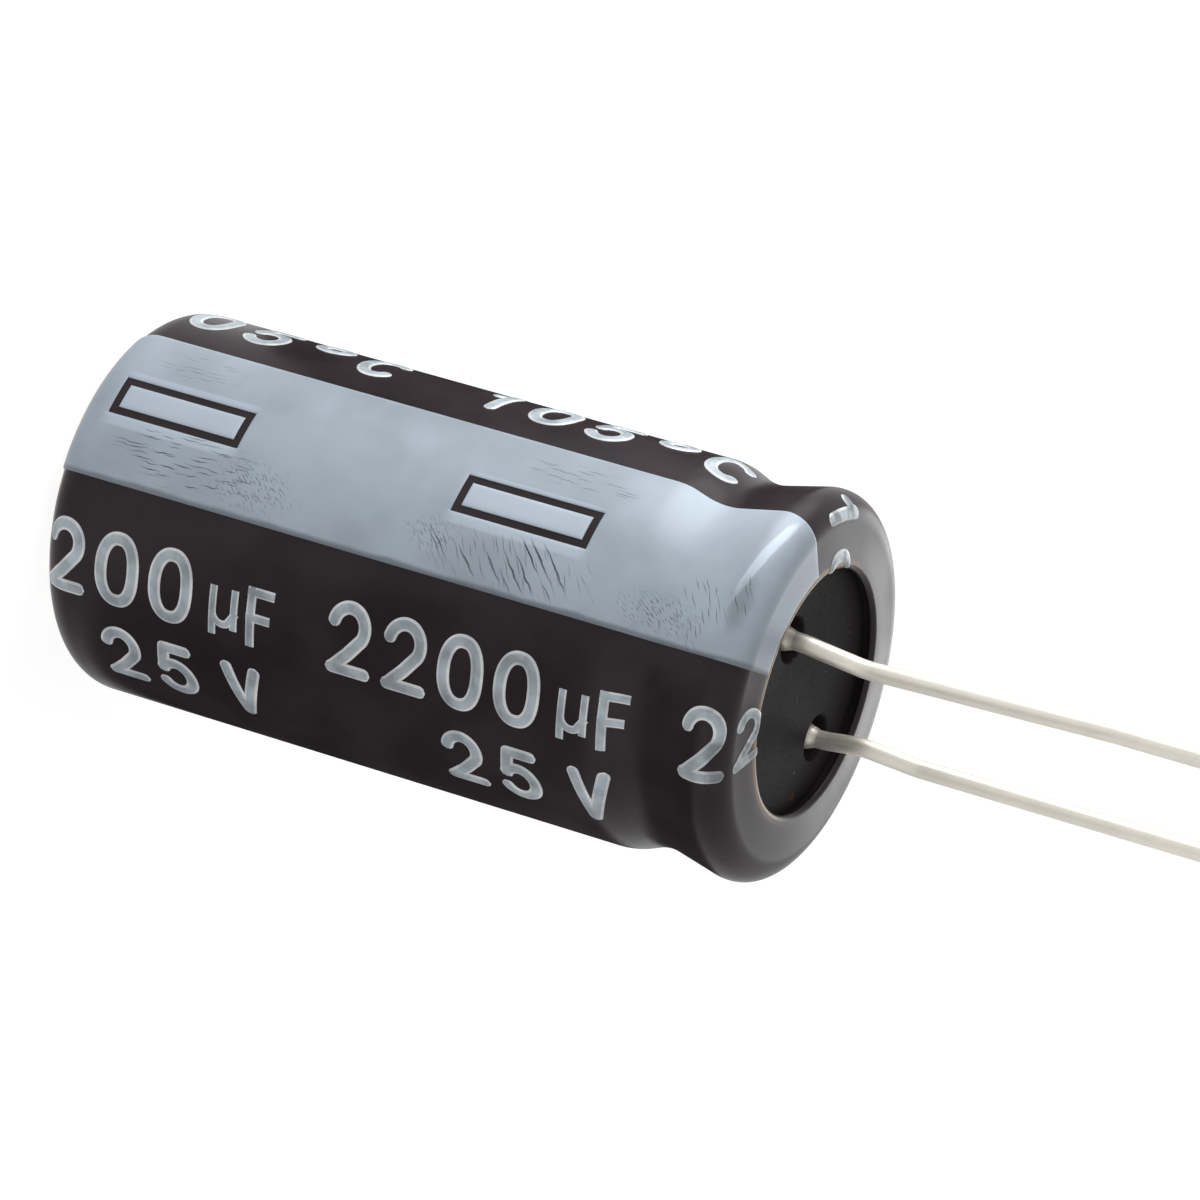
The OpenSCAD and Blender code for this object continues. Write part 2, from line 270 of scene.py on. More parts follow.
def spun(vector, turn):
    """A flat vector turned to the left."""
    cos, sin = math.cos(turn), math.sin(turn)
    return Vector((vector.x * cos - vector.y * sin, vector.x * sin + vector.y * cos))


def rounded_line(start, corners, end, arc_turn=ARC_TURN):
    """Points and outward normals along a line through corners, each (point, radius).

    Outwards is to the right of the way. Only the rounds give points, since a straight stretch
    runs from the end of one to the start of the next.
    """
    stops = [start] + [corner for corner, _ in corners] + [end]
    line = []
    for before, (corner, radius), after in zip(stops, corners, stops[2:]):
        way_in = (corner - before).normalized()
        way_out = (after - corner).normalized()
        turn = math.atan2(way_in.x * way_out.y - way_in.y * way_out.x, way_in.dot(way_out))
        side = math.copysign(1, turn)
        left = Vector((-way_in.y, way_in.x))
        centre = corner - way_in * radius * math.tan(abs(turn) / 2) + left * side * radius
        steps = max(3, math.ceil(abs(turn) / arc_turn))
        for step in range(steps + 1):
            normal = spun(-left, turn * step / steps)
            point = centre + normal * side * radius
            if not line or (point - line[-1][0]).length > SAME_POINT:
                line.append((point, normal))
    return line


def can_corners(can):
    """Corners of the can's outside from the base round to the rim, and the rim's corner."""
    wall = can.can_d / 2
    rim_out = CAN_HIGH.x
    rim_z = CAN_HIGH.z
    run = can.rim_shoulder_r * math.tan(can.bead_high_slope / 2)
    rim_corner = Vector((rim_out, rim_z - can.rim_r - run))
    half = (can.bead_low_slope + can.bead_high_slope) / 2
    skew = (can.bead_low_slope - can.bead_high_slope) / 2
    bottom_r = wall - can.bead_depth + can.bead_r * (1 - math.cos(skew) / math.cos(half))
    bottom_z = rim_corner.y - (rim_out - bottom_r) / math.tan(can.bead_high_slope)
    start_z = bottom_z - (wall - bottom_r) / math.tan(can.bead_low_slope)
    return {
        "base": (Vector((wall, CAN_LOW.z)), can.base_r),
        "bead": [
            (Vector((wall, start_z)), can.bead_shoulder_r),
            (Vector((bottom_r, bottom_z)), can.bead_r),
            (rim_corner, can.rim_shoulder_r),
        ],
        "rim": (Vector((rim_out, rim_z)), can.rim_r),
    }


def film_line(can, sleeve):
    """Points and normals under the film, from its cut edge on the base to its bent lip."""
    corners = can_corners(can)
    start = Vector((can.can_d / 2 - sleeve.base_lap, CAN_LOW.z))
    bend = Vector((CAN_HIGH.x - sleeve.top_lap, CAN_HIGH.z))
    end = bend + spun(Vector((-sleeve.lip_l, 0)), sleeve.lip_turn)
    stops = [corners["base"], *corners["bead"], corners["rim"], (bend, sleeve.lip_round)]
    line = rounded_line(start, stops, end)
    return [(start, Vector((0, -1)))] + line + [(end, line[-1][1])]


def film_outside(line, sleeve):
    """Points of the film's outside. The lap is highest at its bend and falls outwards."""
    bend_r = CAN_HIGH.x - sleeve.top_lap
    points = []
    for point, normal in line:
        on_lap = max(0, normal.y) ** 2 if point.y > CAN_HIGH.z / 2 else 0
        out = min(1, max(0, point.x - bend_r) / (sleeve.top_lap * FALL_REACH))
        points.append(point + normal * (sleeve.sleeve_t - sleeve.lap_fall * on_lap * out))
    return points


def filled_in(line, step):
    """The same line with points added on stretches longer than step."""
    full = [line[0]]
    for (p, normal_p), (q, normal_q) in zip(line, line[1:]):
        parts = max(1, math.ceil((q - p).length / step))
        for part in range(1, parts + 1):
            full.append((p.lerp(q, part / parts), normal_p.lerp(normal_q, part / parts)))
    return full


def moved_out(line, off):
    """Plain points of a line moved outwards by off."""
    return [point + normal * off for point, normal in line]


def softened(outline, spots, radius):
    """A closed outline with the corners at these indexes rounded."""
    soft = []
    for index, corner in enumerate(outline):
        if index not in spots:
            soft.append(corner)
            continue
        start = corner + (outline[index - 1] - corner).normalized() * radius
        end = corner + (outline[(index + 1) % len(outline)] - corner).normalized() * radius
        for step in range(CUT_STEPS + 1):
            part = step / CUT_STEPS
            soft.append(start.lerp(corner, part).lerp(corner.lerp(end, part), part))
    return soft


class Meridian:
    """The film's outside, with places on it given by their distance along the surface.

    The distances start so that they equal the heights on the straight wall.
    """

    def __init__(self, can, sleeve):
        ends_at = CAN_HIGH.x - sleeve.top_lap
        line = [place for place in film_line(can, sleeve) if place[0].x > ends_at]
        self.points = np.array(film_outside(line, sleeve))
        self.normals = np.array([normal for _, normal in line])
        steps = np.linalg.norm(np.diff(self.points, axis=0), axis=1)
        self.lengths = np.concatenate([[0], np.cumsum(steps)])
        self.wall = int(np.argmax(self.normals[:, 0] > ON_WALL))
        self.lengths += self.points[self.wall, 1] - self.lengths[self.wall]
        self.radius = float(self.points[self.wall, 0])

    def foot(self, z):
        """Distance along the film at this height on the base round."""
        low = slice(self.wall + 1)
        return float(np.interp(z, self.points[low, 1], self.lengths[low]))

    def at(self, along, height):
        """Radius and height of places on the film, or a little above it."""
        column = [np.interp(along, self.lengths, self.points[:, k]) for k in (0, 1)]
        normal = [np.interp(along, self.lengths, self.normals[:, k]) for k in (0, 1)]
        length = np.hypot(*normal)
        return column[0] + height * normal[0] / length, column[1] + height * normal[1] / length


def cut_edge_shift(sleeve, edge_r, r, turn, phase):
    """How far the film strays at these radii and turns near the cut edge at edge_r."""
    near = np.clip(1 - (r - edge_r) / sleeve.cut_reach, 0, 1) ** 2
    wave = sum(part * np.sin(count * turn + pace * phase) for part, count, pace in EDGE_WAVES)
    return sleeve.cut_wave * near * wave


def film_shift(can, sleeve, r, z, turn):
    """Radial strays of the film at both of its cut edges."""
    top = cut_edge_shift(sleeve, CAN_HIGH.x - sleeve.top_lap, r, turn, TOP_PHASE)
    base = cut_edge_shift(sleeve, can.can_d / 2 - sleeve.base_lap, r, turn, BASE_PHASE)
    return np.where(z > CAN_HIGH.z / 2, top, base)


# Meshes

def new_object(name, vertices=(), faces=(), edges=()):
    """An object at the origin with this mesh."""
    mesh = bpy.data.meshes.new(name)
    mesh.from_pydata([tuple(vertex) for vertex in vertices], edges, faces)
    mesh.update()
    piece = bpy.data.objects.new(name, mesh)
    bpy.context.scene.collection.objects.link(piece)
    return piece


@contextmanager
def edited(mesh):
    """The mesh opened for changes, which are written back to it at the end."""
    work = bmesh.new()
    work.from_mesh(mesh)
    yield work
    work.to_mesh(mesh)
    work.free()


def ring_faces(rings, sides):
    """Quads between rings of points, and from the last ring back to the first."""
    faces = []
    for ring in range(rings):
        low, high = ring * sides, (ring + 1) % rings * sides
        for side in range(sides):
            beside = (side + 1) % sides
            faces.append((low + side, low + beside, high + beside, high + side))
    return faces


def about_axis(r, z, turn):
    """Rows of points at these radii, heights and turns about the Z axis."""
    return np.stack([r * np.cos(turn), r * np.sin(turn), z], axis=-1).reshape(-1, 3)


def dressed(mesh, material):
    """Gives the mesh this material alone."""
    mesh.materials.clear()
    mesh.materials.append(material)


def finished(piece, material):
    """Gives the piece outward faces, smooth shading up to an angle, and its material."""
    mesh = piece.data
    with edited(mesh) as work:
        bmesh.ops.recalc_face_normals(work, faces=work.faces)
    mesh.polygons.foreach_set("use_smooth", [True] * len(mesh.polygons))
    mesh.set_sharp_from_angle(angle=SMOOTH_BELOW)
    dressed(mesh, material)
    mesh.update()


def enrol(piece, slot, *nodes):
    """Puts a finished piece on the body in place of its nodes."""
    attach(piece, BODY)
    if nodes:
        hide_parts(*nodes)


# Node trees

class Value:
    """An output in a node tree. Sums with it add maths nodes to the tree."""

    def __init__(self, wiring, socket):
        self.wiring = wiring
        self.socket = socket

    def __add__(self, other):
        return self.wiring.maths("ADD", self, other)

    def __sub__(self, other):
        return self.wiring.maths("SUBTRACT", self, other)

    def __rsub__(self, other):
        return self.wiring.maths("SUBTRACT", other, self)

    def __mul__(self, other):
        return self.wiring.maths("MULTIPLY", self, other)

    def __truediv__(self, other):
        return self.wiring.maths("DIVIDE", self, other)

    def __abs__(self):
        return self.wiring.maths("ABSOLUTE", self)

    def times_plus(self, factor, addend):
        """This times a factor, plus something."""
        return self.wiring.maths("MULTIPLY_ADD", self, factor, addend)

    def ramp(self, low, high, to_low=0.0, to_high=1.0):
        """This carried smoothly from one range to another, and held outside it."""
        inputs = {"Value": self, "From Min": low, "From Max": high,
                  "To Min": to_low, "To Max": to_high}
        return self.wiring.of(
            "ShaderNodeMapRange", inputs, "Result", interpolation_type="SMOOTHSTEP")

    def fall(self, low, high):
        """1 below a range, 0 above it and smooth between."""
        return 1.0 - self.ramp(low, high)


class Wiring:
    """Short calls that add nodes to a tree and join them."""

    def __init__(self, tree):
        self.tree = tree

    def add(self, kind, inputs=None, **settings):
        """A node with its settings and with numbers or outputs on its inputs."""
        node = self.tree.nodes.new(kind)
        for key, value in settings.items():
            setattr(node, key, value)
        for key, value in (inputs or {}).items():
            self.put(value, node.inputs[key])
        return node

    def put(self, value, socket):
        """Joins an input to an output, or sets its value."""
        if isinstance(value, Value):
            self.tree.links.new(value.socket, socket)
        else:
            socket.default_value = value

    def of(self, kind, inputs=None, output=0, **settings):
        """One output of a new node."""
        return Value(self, self.add(kind, inputs, **settings).outputs[output])

    def all_of(self, kind, inputs=None, **settings):
        """The outputs of a new node by their names."""
        outputs = self.add(kind, inputs, **settings).outputs
        return {output.name: Value(self, output) for output in outputs}

    def maths(self, operation, *values, clamp=False):
        """Result of a maths node."""
        return self.of("ShaderNodeMath", dict(enumerate(values)),
                       operation=operation, use_clamp=clamp)

    def vectors(self, operation, inputs, output=0):
        """Result of a vector maths node."""
        return self.of("ShaderNodeVectorMath", inputs, output, operation=operation)

    def vector(self, x=0.0, y=0.0, z=0.0):
        """A vector made of three values."""
        return self.of("ShaderNodeCombineXYZ", {0: x, 1: y, 2: z})

    def split(self, vector):
        """The three values of a vector."""
        return list(self.all_of("ShaderNodeSeparateXYZ", {0: vector}).values())

    def blend(self, factor, first, second):
        """A colour between two."""
        return self.of("ShaderNodeMix", {0: factor, 6: first, 7: second}, 2, data_type="RGBA")

    def noise(self, vector, scale, detail=2.0, roughness=0.5):
        """Noise from 0 to 1."""
        inputs = {"Vector": vector, "Scale": scale, "Detail": detail, "Roughness": roughness}
        return self.of("ShaderNodeTexNoise", inputs, "Fac")

    def ready(self, geometry, material):
        """Geometry without instances, in its material."""
        real = self.of("GeometryNodeRealizeInstances", {"Geometry": geometry})
        return self.of("GeometryNodeSetMaterial", {"Geometry": real, "Material": material})

    def show(self, shader, kind="ShaderNodeOutputMaterial"):
        """Joins a shader to the output of its material or world."""
        self.put(shader, self.add(kind).inputs["Surface"])


FLOAT = "NodeSocketFloat"
INTEGER = "NodeSocketInt"
VECTOR = "NodeSocketVector"
GEOMETRY = "NodeSocketGeometry"
MATERIAL = "NodeSocketMaterial"


def floats(*names):
    """Sockets for numbers with these names."""
    return [(name, FLOAT) for name in names]


def built_once(name, kind, inputs, outputs):
    """Turns a function that wires a tree into one that builds the tree once and returns it.

    The wiring function gets the tree's wiring and inputs, and returns a list of its outputs.
    Inputs and outputs are (name, socket type), and an input may have its default as a third.
    """
    def decorate(wire):
        @functools.cache
        def build():
            tree = bpy.data.node_groups.new(name, kind)
            for label, socket, *default in inputs:
                made = tree.interface.new_socket(label, in_out="INPUT", socket_type=socket)
                if default:
                    made.default_value = default[0]
            for label, socket in outputs:
                tree.interface.new_socket(label, in_out="OUTPUT", socket_type=socket)
            wiring = Wiring(tree)
            entry = wiring.all_of("NodeGroupInput")
            leave = wiring.add("NodeGroupOutput").inputs
            for (label, _), value in zip(outputs, wire(wiring, entry)):
                wiring.put(value, leave[label])
            return tree
        return build
    return decorate


@built_once(
    "Swept section", "GeometryNodeTree",
    [("Wires", GEOMETRY), ("Width", FLOAT), ("Height", FLOAT), ("Sides", INTEGER),
     ("Copies", INTEGER, 1), ("First copy", FLOAT), ("Pitch", FLOAT), ("Material", MATERIAL)],
    [("Geometry", GEOMETRY)])
def sweep_tree(wiring, entry):
    """Geometry tree that sweeps a flat round section along wires and repeats the result."""
    path = wiring.of("GeometryNodeMeshToCurve", {"Mesh": entry["Wires"]})
    section = wiring.of(
        "GeometryNodeCurvePrimitiveCircle", {"Resolution": entry["Sides"], "Radius": 0.5})
    flat = wiring.of("GeometryNodeTransform", {
        "Geometry": section, "Scale": wiring.vector(entry["Width"], entry["Height"], 1.0)})
    girth = wiring.of(
        "GeometryNodeInputNamedAttribute", {"Name": "girth"}, "Attribute", data_type="FLOAT")
    swept = wiring.of("GeometryNodeCurveToMesh", {
        "Curve": path, "Profile Curve": flat, "Scale": girth, "Fill Caps": True})
    places = wiring.of("GeometryNodeMeshLine", {
        "Count": entry["Copies"],
        "Start Location": wiring.vector(entry["First copy"] * entry["Pitch"]),
        "Offset": wiring.vector(entry["Pitch"])})
    copies = wiring.of("GeometryNodeInstanceOnPoints", {"Points": places, "Instance": swept})
    return [wiring.ready(copies, entry["Material"])]


@built_once(
    "Print on the film", "GeometryNodeTree",
    [("Print", GEOMETRY), ("Meridian", "NodeSocketObject"), ("Film radius", FLOAT),
     ("Meridian start", FLOAT), ("Material", MATERIAL)],
    [("Geometry", GEOMETRY)])
def wrap_tree(wiring, entry):
    """Geometry tree that lays flat print on the film.

    Flat X runs along the film, flat Y round it and flat Z out of it.
    """
    x, y, z = wiring.split(wiring.of("GeometryNodeInputPosition"))
    source = wiring.of("GeometryNodeObjectInfo", {"Object": entry["Meridian"]}, "Geometry")
    line = wiring.of("GeometryNodeMeshToCurve", {"Mesh": source})
    place = wiring.all_of(
        "GeometryNodeSampleCurve", {"Curves": line, "Length": x - entry["Meridian start"]},
        mode="LENGTH")
    along = wiring.split(place["Tangent"])
    outwards = wiring.vector(along[2], 0.0, along[0] * -1.0)
    lift = wiring.vectors("SCALE", {0: outwards, "Scale": z})
    stood = wiring.vectors("ADD", {0: place["Position"], 1: lift})
    turn = y / (entry["Film radius"] * -1.0)
    turned = wiring.of(
        "ShaderNodeVectorRotate", {"Vector": stood, "Angle": turn}, rotation_type="Z_AXIS")
    moved = wiring.of(
        "GeometryNodeSetPosition", {"Geometry": entry["Print"], "Position": turned})
    return [wiring.ready(moved, entry["Material"])]


def run_tree(piece, build, **inputs):
    """Replaces a piece's mesh by the result of a geometry tree with these inputs."""
    tree = build()
    modifier = piece.modifiers.new(tree.name, "NODES")
    modifier.node_group = tree
    for item in tree.interface.items_tree:
        if item.in_out == "INPUT" and item.name in inputs:
            modifier[item.identifier] = inputs[item.name]
    ready = piece.evaluated_get(bpy.context.evaluated_depsgraph_get())
    result = bpy.data.meshes.new_from_object(ready)
    piece.modifiers.remove(modifier)
    piece.data = result


# Strokes of the printed characters, in a box one wide and one high

# Degrees from one point of an arc to the next
BOW_TURN = 7.5


def bow(centre_x, centre_y, half_w, half_h, start, end, roundness=1.0):
    """Points of an oval arc between two angles in degrees."""
    count = max(6, math.ceil(abs(end - start) / BOW_TURN))
    points = []
    for step in range(count + 1):
        at = math.radians(start + (end - start) * step / count)
        cos, sin = math.cos(at), math.sin(at)
        points.append((
            centre_x + half_w * math.copysign(abs(cos) ** roundness, cos),
            centre_y + half_h * math.copysign(abs(sin) ** roundness, sin),
        ))
    return points


GLYPHS = {
    "0": [bow(0.5, 0.5, 0.5, 0.5, 0, 360, 0.86)],
    "1": [[(0.66, 0), (0.66, 1)], [(0.66, 1), (0.56, 0.86), (0.28, 0.76)]],
    "2": [bow(0.49, 0.7, 0.47, 0.3, 168, -32) + [(0.5, 0.27), (0.04, 0.0)],
          [(0.02, 0), (1, 0)]],
    "5": [[(0.2, 1), (0.92, 1)], [(0.2, 1), (0.09, 0.52)],
          bow(0.47, 0.33, 0.5, 0.33, 142, -152)],
    "V": [[(0, 1), (0.5, 0)], [(1, 1), (0.5, 0)]],
    "F": [[(0, 0), (0, 1)], [(0, 1), (1, 1)], [(0, 0.5), (0.84, 0.5)]],
    "u": [[(0.1, -0.26), (0.1, 1)],
          [(0.1, 0.45)] + bow(0.53, 0.36, 0.43, 0.36, 180, 300) + [(1, 0.34)],
          [(1, 0), (1, 1)]],
    "o": [bow(0.5, 0.78, 0.42, 0.22, 0, 360)],
    "C": [bow(0.52, 0.5, 0.5, 0.5, 48, 312, 0.9)],
}
SQUARE_ENDED = "Fu"


def even_points(points, step):
    """The same line with points no further apart than step."""
    even = [points[0]]
    for p, q in zip(points, points[1:]):
        parts = max(1, math.ceil((q - p).length / step))
        even.extend(p.lerp(q, part / parts) for part in range(1, parts + 1))
    return even


# Least girth of a stroke, at its very end
END_GIRTH = 0.06


def end_girths(points, reach):
    """Girth along a stroke that ends in half rounds, reach long."""
    steps = [(q - p).length for p, q in zip(points, points[1:])]
    total = sum(steps)
    run = 0
    girths = []
    for step in [0] + steps:
        run += step
        depth = min(1, min(run, total - run) / reach)
        girths.append(max(END_GIRTH, math.sqrt(max(0, 1 - (1 - depth) ** 2))))
    return girths


class WireBook:
    """Collects lines with a girth at each point, for one mesh of edges."""

    def __init__(self):
        self.points = []
        self.edges = []
        self.girths = []

    def add(self, points, girths, closed=False):
        """One more line. A closed one joins its last point to its first."""
        first = len(self.points)
        self.points.extend(points)
        self.girths.extend(girths)
        last = len(self.points) - 1
        self.edges.extend((index, index + 1) for index in range(first, last))
        if closed:
            self.edges.append((last, first))

    def made(self, name):
        """The object that holds the lines, with the girths as a point attribute."""
        wires = new_object(name, self.points, edges=self.edges)
        girth = wires.data.attributes.new("girth", "FLOAT", "POINT")
        girth.data.foreach_set("value", self.girths)
        return wires


# Distance between two ends, in the character's box, below which a stroke is closed
CLOSED_BELOW = 1e-6


def print_glyph(book, glyph, x, y, width, height, stroke_w, share_of_stroke=1.0):
    """Adds one character whose outside fills the box at (x, y)."""
    stroke_w = stroke_w * share_of_stroke
    inset = stroke_w / 2
    for stroke in GLYPHS[glyph]:
        flat = [
            Vector((x + inset + px * (width - stroke_w), y + inset + py * (height - stroke_w), 0))
            for px, py in stroke
        ]
        if math.dist(stroke[0], stroke[-1]) < CLOSED_BELOW:
            points = even_points(flat, STROKE_STEP)[:-1]
            book.add(points, [share_of_stroke] * len(points), closed=True)
            continue
        first, last = (flat[0] - flat[1]).normalized(), (flat[-1] - flat[-2]).normalized()
        flat[0] = flat[0] + first * inset
        flat[-1] = flat[-1] + last * inset
        points = even_points(flat, STROKE_STEP)
        girths = [1.0] * len(points) if glyph in SQUARE_ENDED else end_girths(points, inset)
        book.add(points, [girth * share_of_stroke for girth in girths])


# Letters of the unit: where each starts after the digits, its height above the baseline, its
# width and its height in millimetres, and its share of a digit's stroke
UNIT = [("u", 0.18, 0.4, 1.15, 1.4, 0.6), ("F", 1.65, 0.04, 0.98, 2.06, 0.72)]
# Width and pitch of the other rows' characters, and where the V starts after its digits
VOLTS_W, VOLTS_PITCH = 1.56 * MM, 2.02 * MM
V_START, V_W = 4.6 * MM, 1.48 * MM
HEAT_W, HEAT_PITCH = 1.6 * MM, 2.1 * MM


def rating_strokes(rating, radius):
    """All strokes of one repeat of the print, laid flat."""
    book = WireBook()

    def row(text, turn, start, height, width, pitch):
        for index, glyph in enumerate(text):
            print_glyph(book, glyph, start + index * pitch, -turn * radius,
                        width, height, rating.stroke_w)

    digits = "2200"
    row(digits, rating.rating_turn, rating.rating_x, rating.rating_h,
        rating.digit_w, rating.digit_pitch)
    unit_x = rating.rating_x + len(digits) * rating.digit_pitch
    for glyph, x, y, width, height, part in UNIT:
        print_glyph(book, glyph, unit_x + x * MM, y * MM - rating.rating_turn * radius,
                    width * MM, height * MM, rating.stroke_w, part)
    row("25", rating.volts_turn, rating.volts_x, rating.volts_h, VOLTS_W, VOLTS_PITCH)
    row("V", rating.volts_turn, rating.volts_x + V_START, rating.volts_h, V_W, VOLTS_PITCH)
    row("105oC", rating.heat_turn, rating.heat_x, rating.heat_h, HEAT_W, HEAT_PITCH)
    return book


# How near to a cut a point counts as on it
ON_CUT = 1e-9


def cut_flat(piece, low, high):
    """Cuts a flat mesh off outside two values of X and closes the cuts."""
    with edited(piece.data) as work:
        for place, side in ((low, -1), (high, 1)):
            everything = work.verts[:] + work.edges[:] + work.faces[:]
            cut = bmesh.ops.bisect_plane(
                work, geom=everything, dist=ON_CUT, plane_co=(place, 0, 0),
                plane_no=(side, 0, 0), clear_outer=True,
            )
            rim = [item for item in cut["geom_cut"] if isinstance(item, bmesh.types.BMEdge)]
            bmesh.ops.holes_fill(work, edges=rim)


# Materials

SHADING = "ShaderNodeTree"
MASK = floats("Mask")
# Radius in millimetres at which places round the film are measured
FILM_RADIUS = 6.4


@built_once(
    "Place on the film", SHADING, [("Turn", FLOAT), ("Film radius", FLOAT, FILM_RADIUS)],
    [*floats("Around", "Along", "Radius"), ("Position", VECTOR)])
def film_place_group(wiring, entry):
    """Where a point lies on the film, in millimetres round it, along it and from the axis."""
    where = wiring.of("ShaderNodeTexCoord", output="Object")
    scaled = wiring.vectors("SCALE", {0: where, "Scale": 1 / MM})
    x, y, z = wiring.split(scaled)
    turn = wiring.maths("ARCTAN2", y, x) - entry["Turn"]
    around = wiring.maths("WRAP", turn, math.pi, -math.pi) * entry["Film radius"]
    return [around, z, wiring.maths("SQRT", x * x + y * y), scaled]


# How far out a patch of wear or painted highlight ends and how uneven its border is, as shares
# of its half size
PATCH_END, PATCH_NOISE = 1.25, 0.5


# A patch mask for the ink's wear and for the painted highlight on the rim's crest
@built_once(
    "Wear and highlight patch", SHADING,
    floats("Around", "Along", "Centre around", "Centre along", "Half around", "Half along",
           "Fade"),
    MASK)
def wear_and_highlight_patch_group(wiring, entry):
    """Mask of an oval patch with a soft, uneven border."""
    def square(value, centre, half):
        part = (entry[value] - entry[centre]) / entry[half]
        return part * part

    far = wiring.maths("SQRT", square("Around", "Centre around", "Half around")
                       + square("Along", "Centre along", "Half along"))
    uneven = wiring.noise(wiring.vector(entry["Around"], entry["Along"]), 1.7)
    return [uneven.times_plus(PATCH_NOISE, far).fall(PATCH_END - entry["Fade"], PATCH_END)]


@built_once(
    "Dashes", SHADING,
    floats("Around", "Along", "Direction", "Spacing", "Length", "Thickness", "Density", "Seed"),
    MASK)
def dashes_group(wiring, entry):
    """Mask of fine tapered scratches that run in one direction over a surface."""
    cos = wiring.maths("COSINE", entry["Direction"])
    sin = wiring.maths("SINE", entry["Direction"])
    run = entry["Along"] * cos + entry["Around"] * sin
    cross = entry["Around"] * cos - entry["Along"] * sin
    sway = wiring.noise(wiring.vector(run, cross, entry["Seed"]), 1.6)
    cross = sway.times_plus(0.2, cross)
    place = wiring.vector(run / entry["Length"], cross / entry["Spacing"] + entry["Seed"])
    cells = wiring.all_of(
        "ShaderNodeTexVoronoi", {"Vector": place, "Scale": 1.0, "Randomness": 0.95},
        voronoi_dimensions="2D")
    offset = wiring.vectors("SUBTRACT", {0: place, 1: cells["Position"]})
    along, beside, _ = wiring.split(offset)
    chance = wiring.split(cells["Color"])
    part = along / chance[1].times_plus(0.3, 0.22)
    taper = wiring.maths("SUBTRACT", 1.0, part * part, clamp=True)
    half = entry["Thickness"] * taper
    line = (abs(beside) * entry["Spacing"]).fall(half * 0.45, half + 0.002)
    kept = wiring.maths("LESS_THAN", chance[0], entry["Density"])
    strong = chance[2].times_plus(0.35, 0.65)
    return [line * kept * strong * taper]


# Millimetres over which a box's halo fades past the box's ends and starts at its sides, and
# how far its filled middle reaches into the bare lines
HALO_ENDS, HALO_START, HALO_INSIDE = (-0.35, 0.3), (-0.04, 0.0), 0.05
# Strength of the halo above the box, below it and inside
ABOVE_STRENGTH, BELOW_STRENGTH, INSIDE_STRENGTH = 0.45, 0.6, 0.6


@built_once(
    "Halo", SHADING,
    floats("Around", "Along", "Centre along", "Half around", "Half along", "Line", "Above",
           "Below"),
    MASK)
def halo_group(wiring, entry):
    """Mask of the bands beside the long sides of a box on the film, and of its inside."""
    ahead = abs(entry["Along"] - entry["Centre along"]) - entry["Half along"]
    beside = ahead.fall(*HALO_ENDS)
    sides = []
    for way, width, strength in ((-1.0, "Above", ABOVE_STRENGTH),
                                 (1.0, "Below", BELOW_STRENGTH)):
        across = entry["Around"] * way - entry["Half around"]
        faded = across.ramp(entry[width] * 0.7, entry[width])
        band = across.ramp(*HALO_START) * (strength - faded * strength)
        sides.append(band * beside)
    across = abs(entry["Around"]) - entry["Half around"]
    deep = wiring.maths("MAXIMUM", across, ahead) + entry["Line"]
    inside = wiring.maths("LESS_THAN", deep, HALO_INSIDE)
    total = wiring.maths("MAXIMUM", *sides)
    return [wiring.maths("MAXIMUM", total, inside * INSIDE_STRENGTH)]


@built_once(
    "Specks", SHADING, [("Position", VECTOR), *floats("Spacing", "Size", "Density")], MASK)
def specks_group(wiring, entry):
    """Mask of small round specks, scattered unevenly."""
    scale = wiring.maths("DIVIDE", 1.0, entry["Spacing"])
    cells = wiring.all_of(
        "ShaderNodeTexVoronoi", {"Vector": entry["Position"], "Scale": scale, "Randomness": 1.0})
    chance = wiring.split(cells["Color"])[0]
    kept = wiring.maths("LESS_THAN", chance, entry["Density"])
    own_size = entry["Size"] * (chance + 0.4)
    return [cells["Distance"].fall(own_size * 0.55, own_size) * kept]


@built_once(
    "Grain", SHADING, [("Position", VECTOR), *floats("Fine scale", "Broad scale")],
    floats("Fine", "Broad"))
def grain_group(wiring, entry):
    """Fine grain and broad unevenness of a surface, both from 0 to 1."""
    return [wiring.noise(entry["Position"], entry["Fine scale"], 4.0, 0.6),
            wiring.noise(entry["Position"], entry["Broad scale"], 3.0)]


def emptied_tree(owner):
    """The node tree of a material or a world without its first nodes."""
    owner.use_nodes = True
    owner.node_tree.nodes.clear()
    return owner.node_tree


def opaque(values, factor=1.0):
    """A colour made darker or paler by a factor, with its alpha."""
    return (*[min(1, value * factor) for value in values], 1.0)


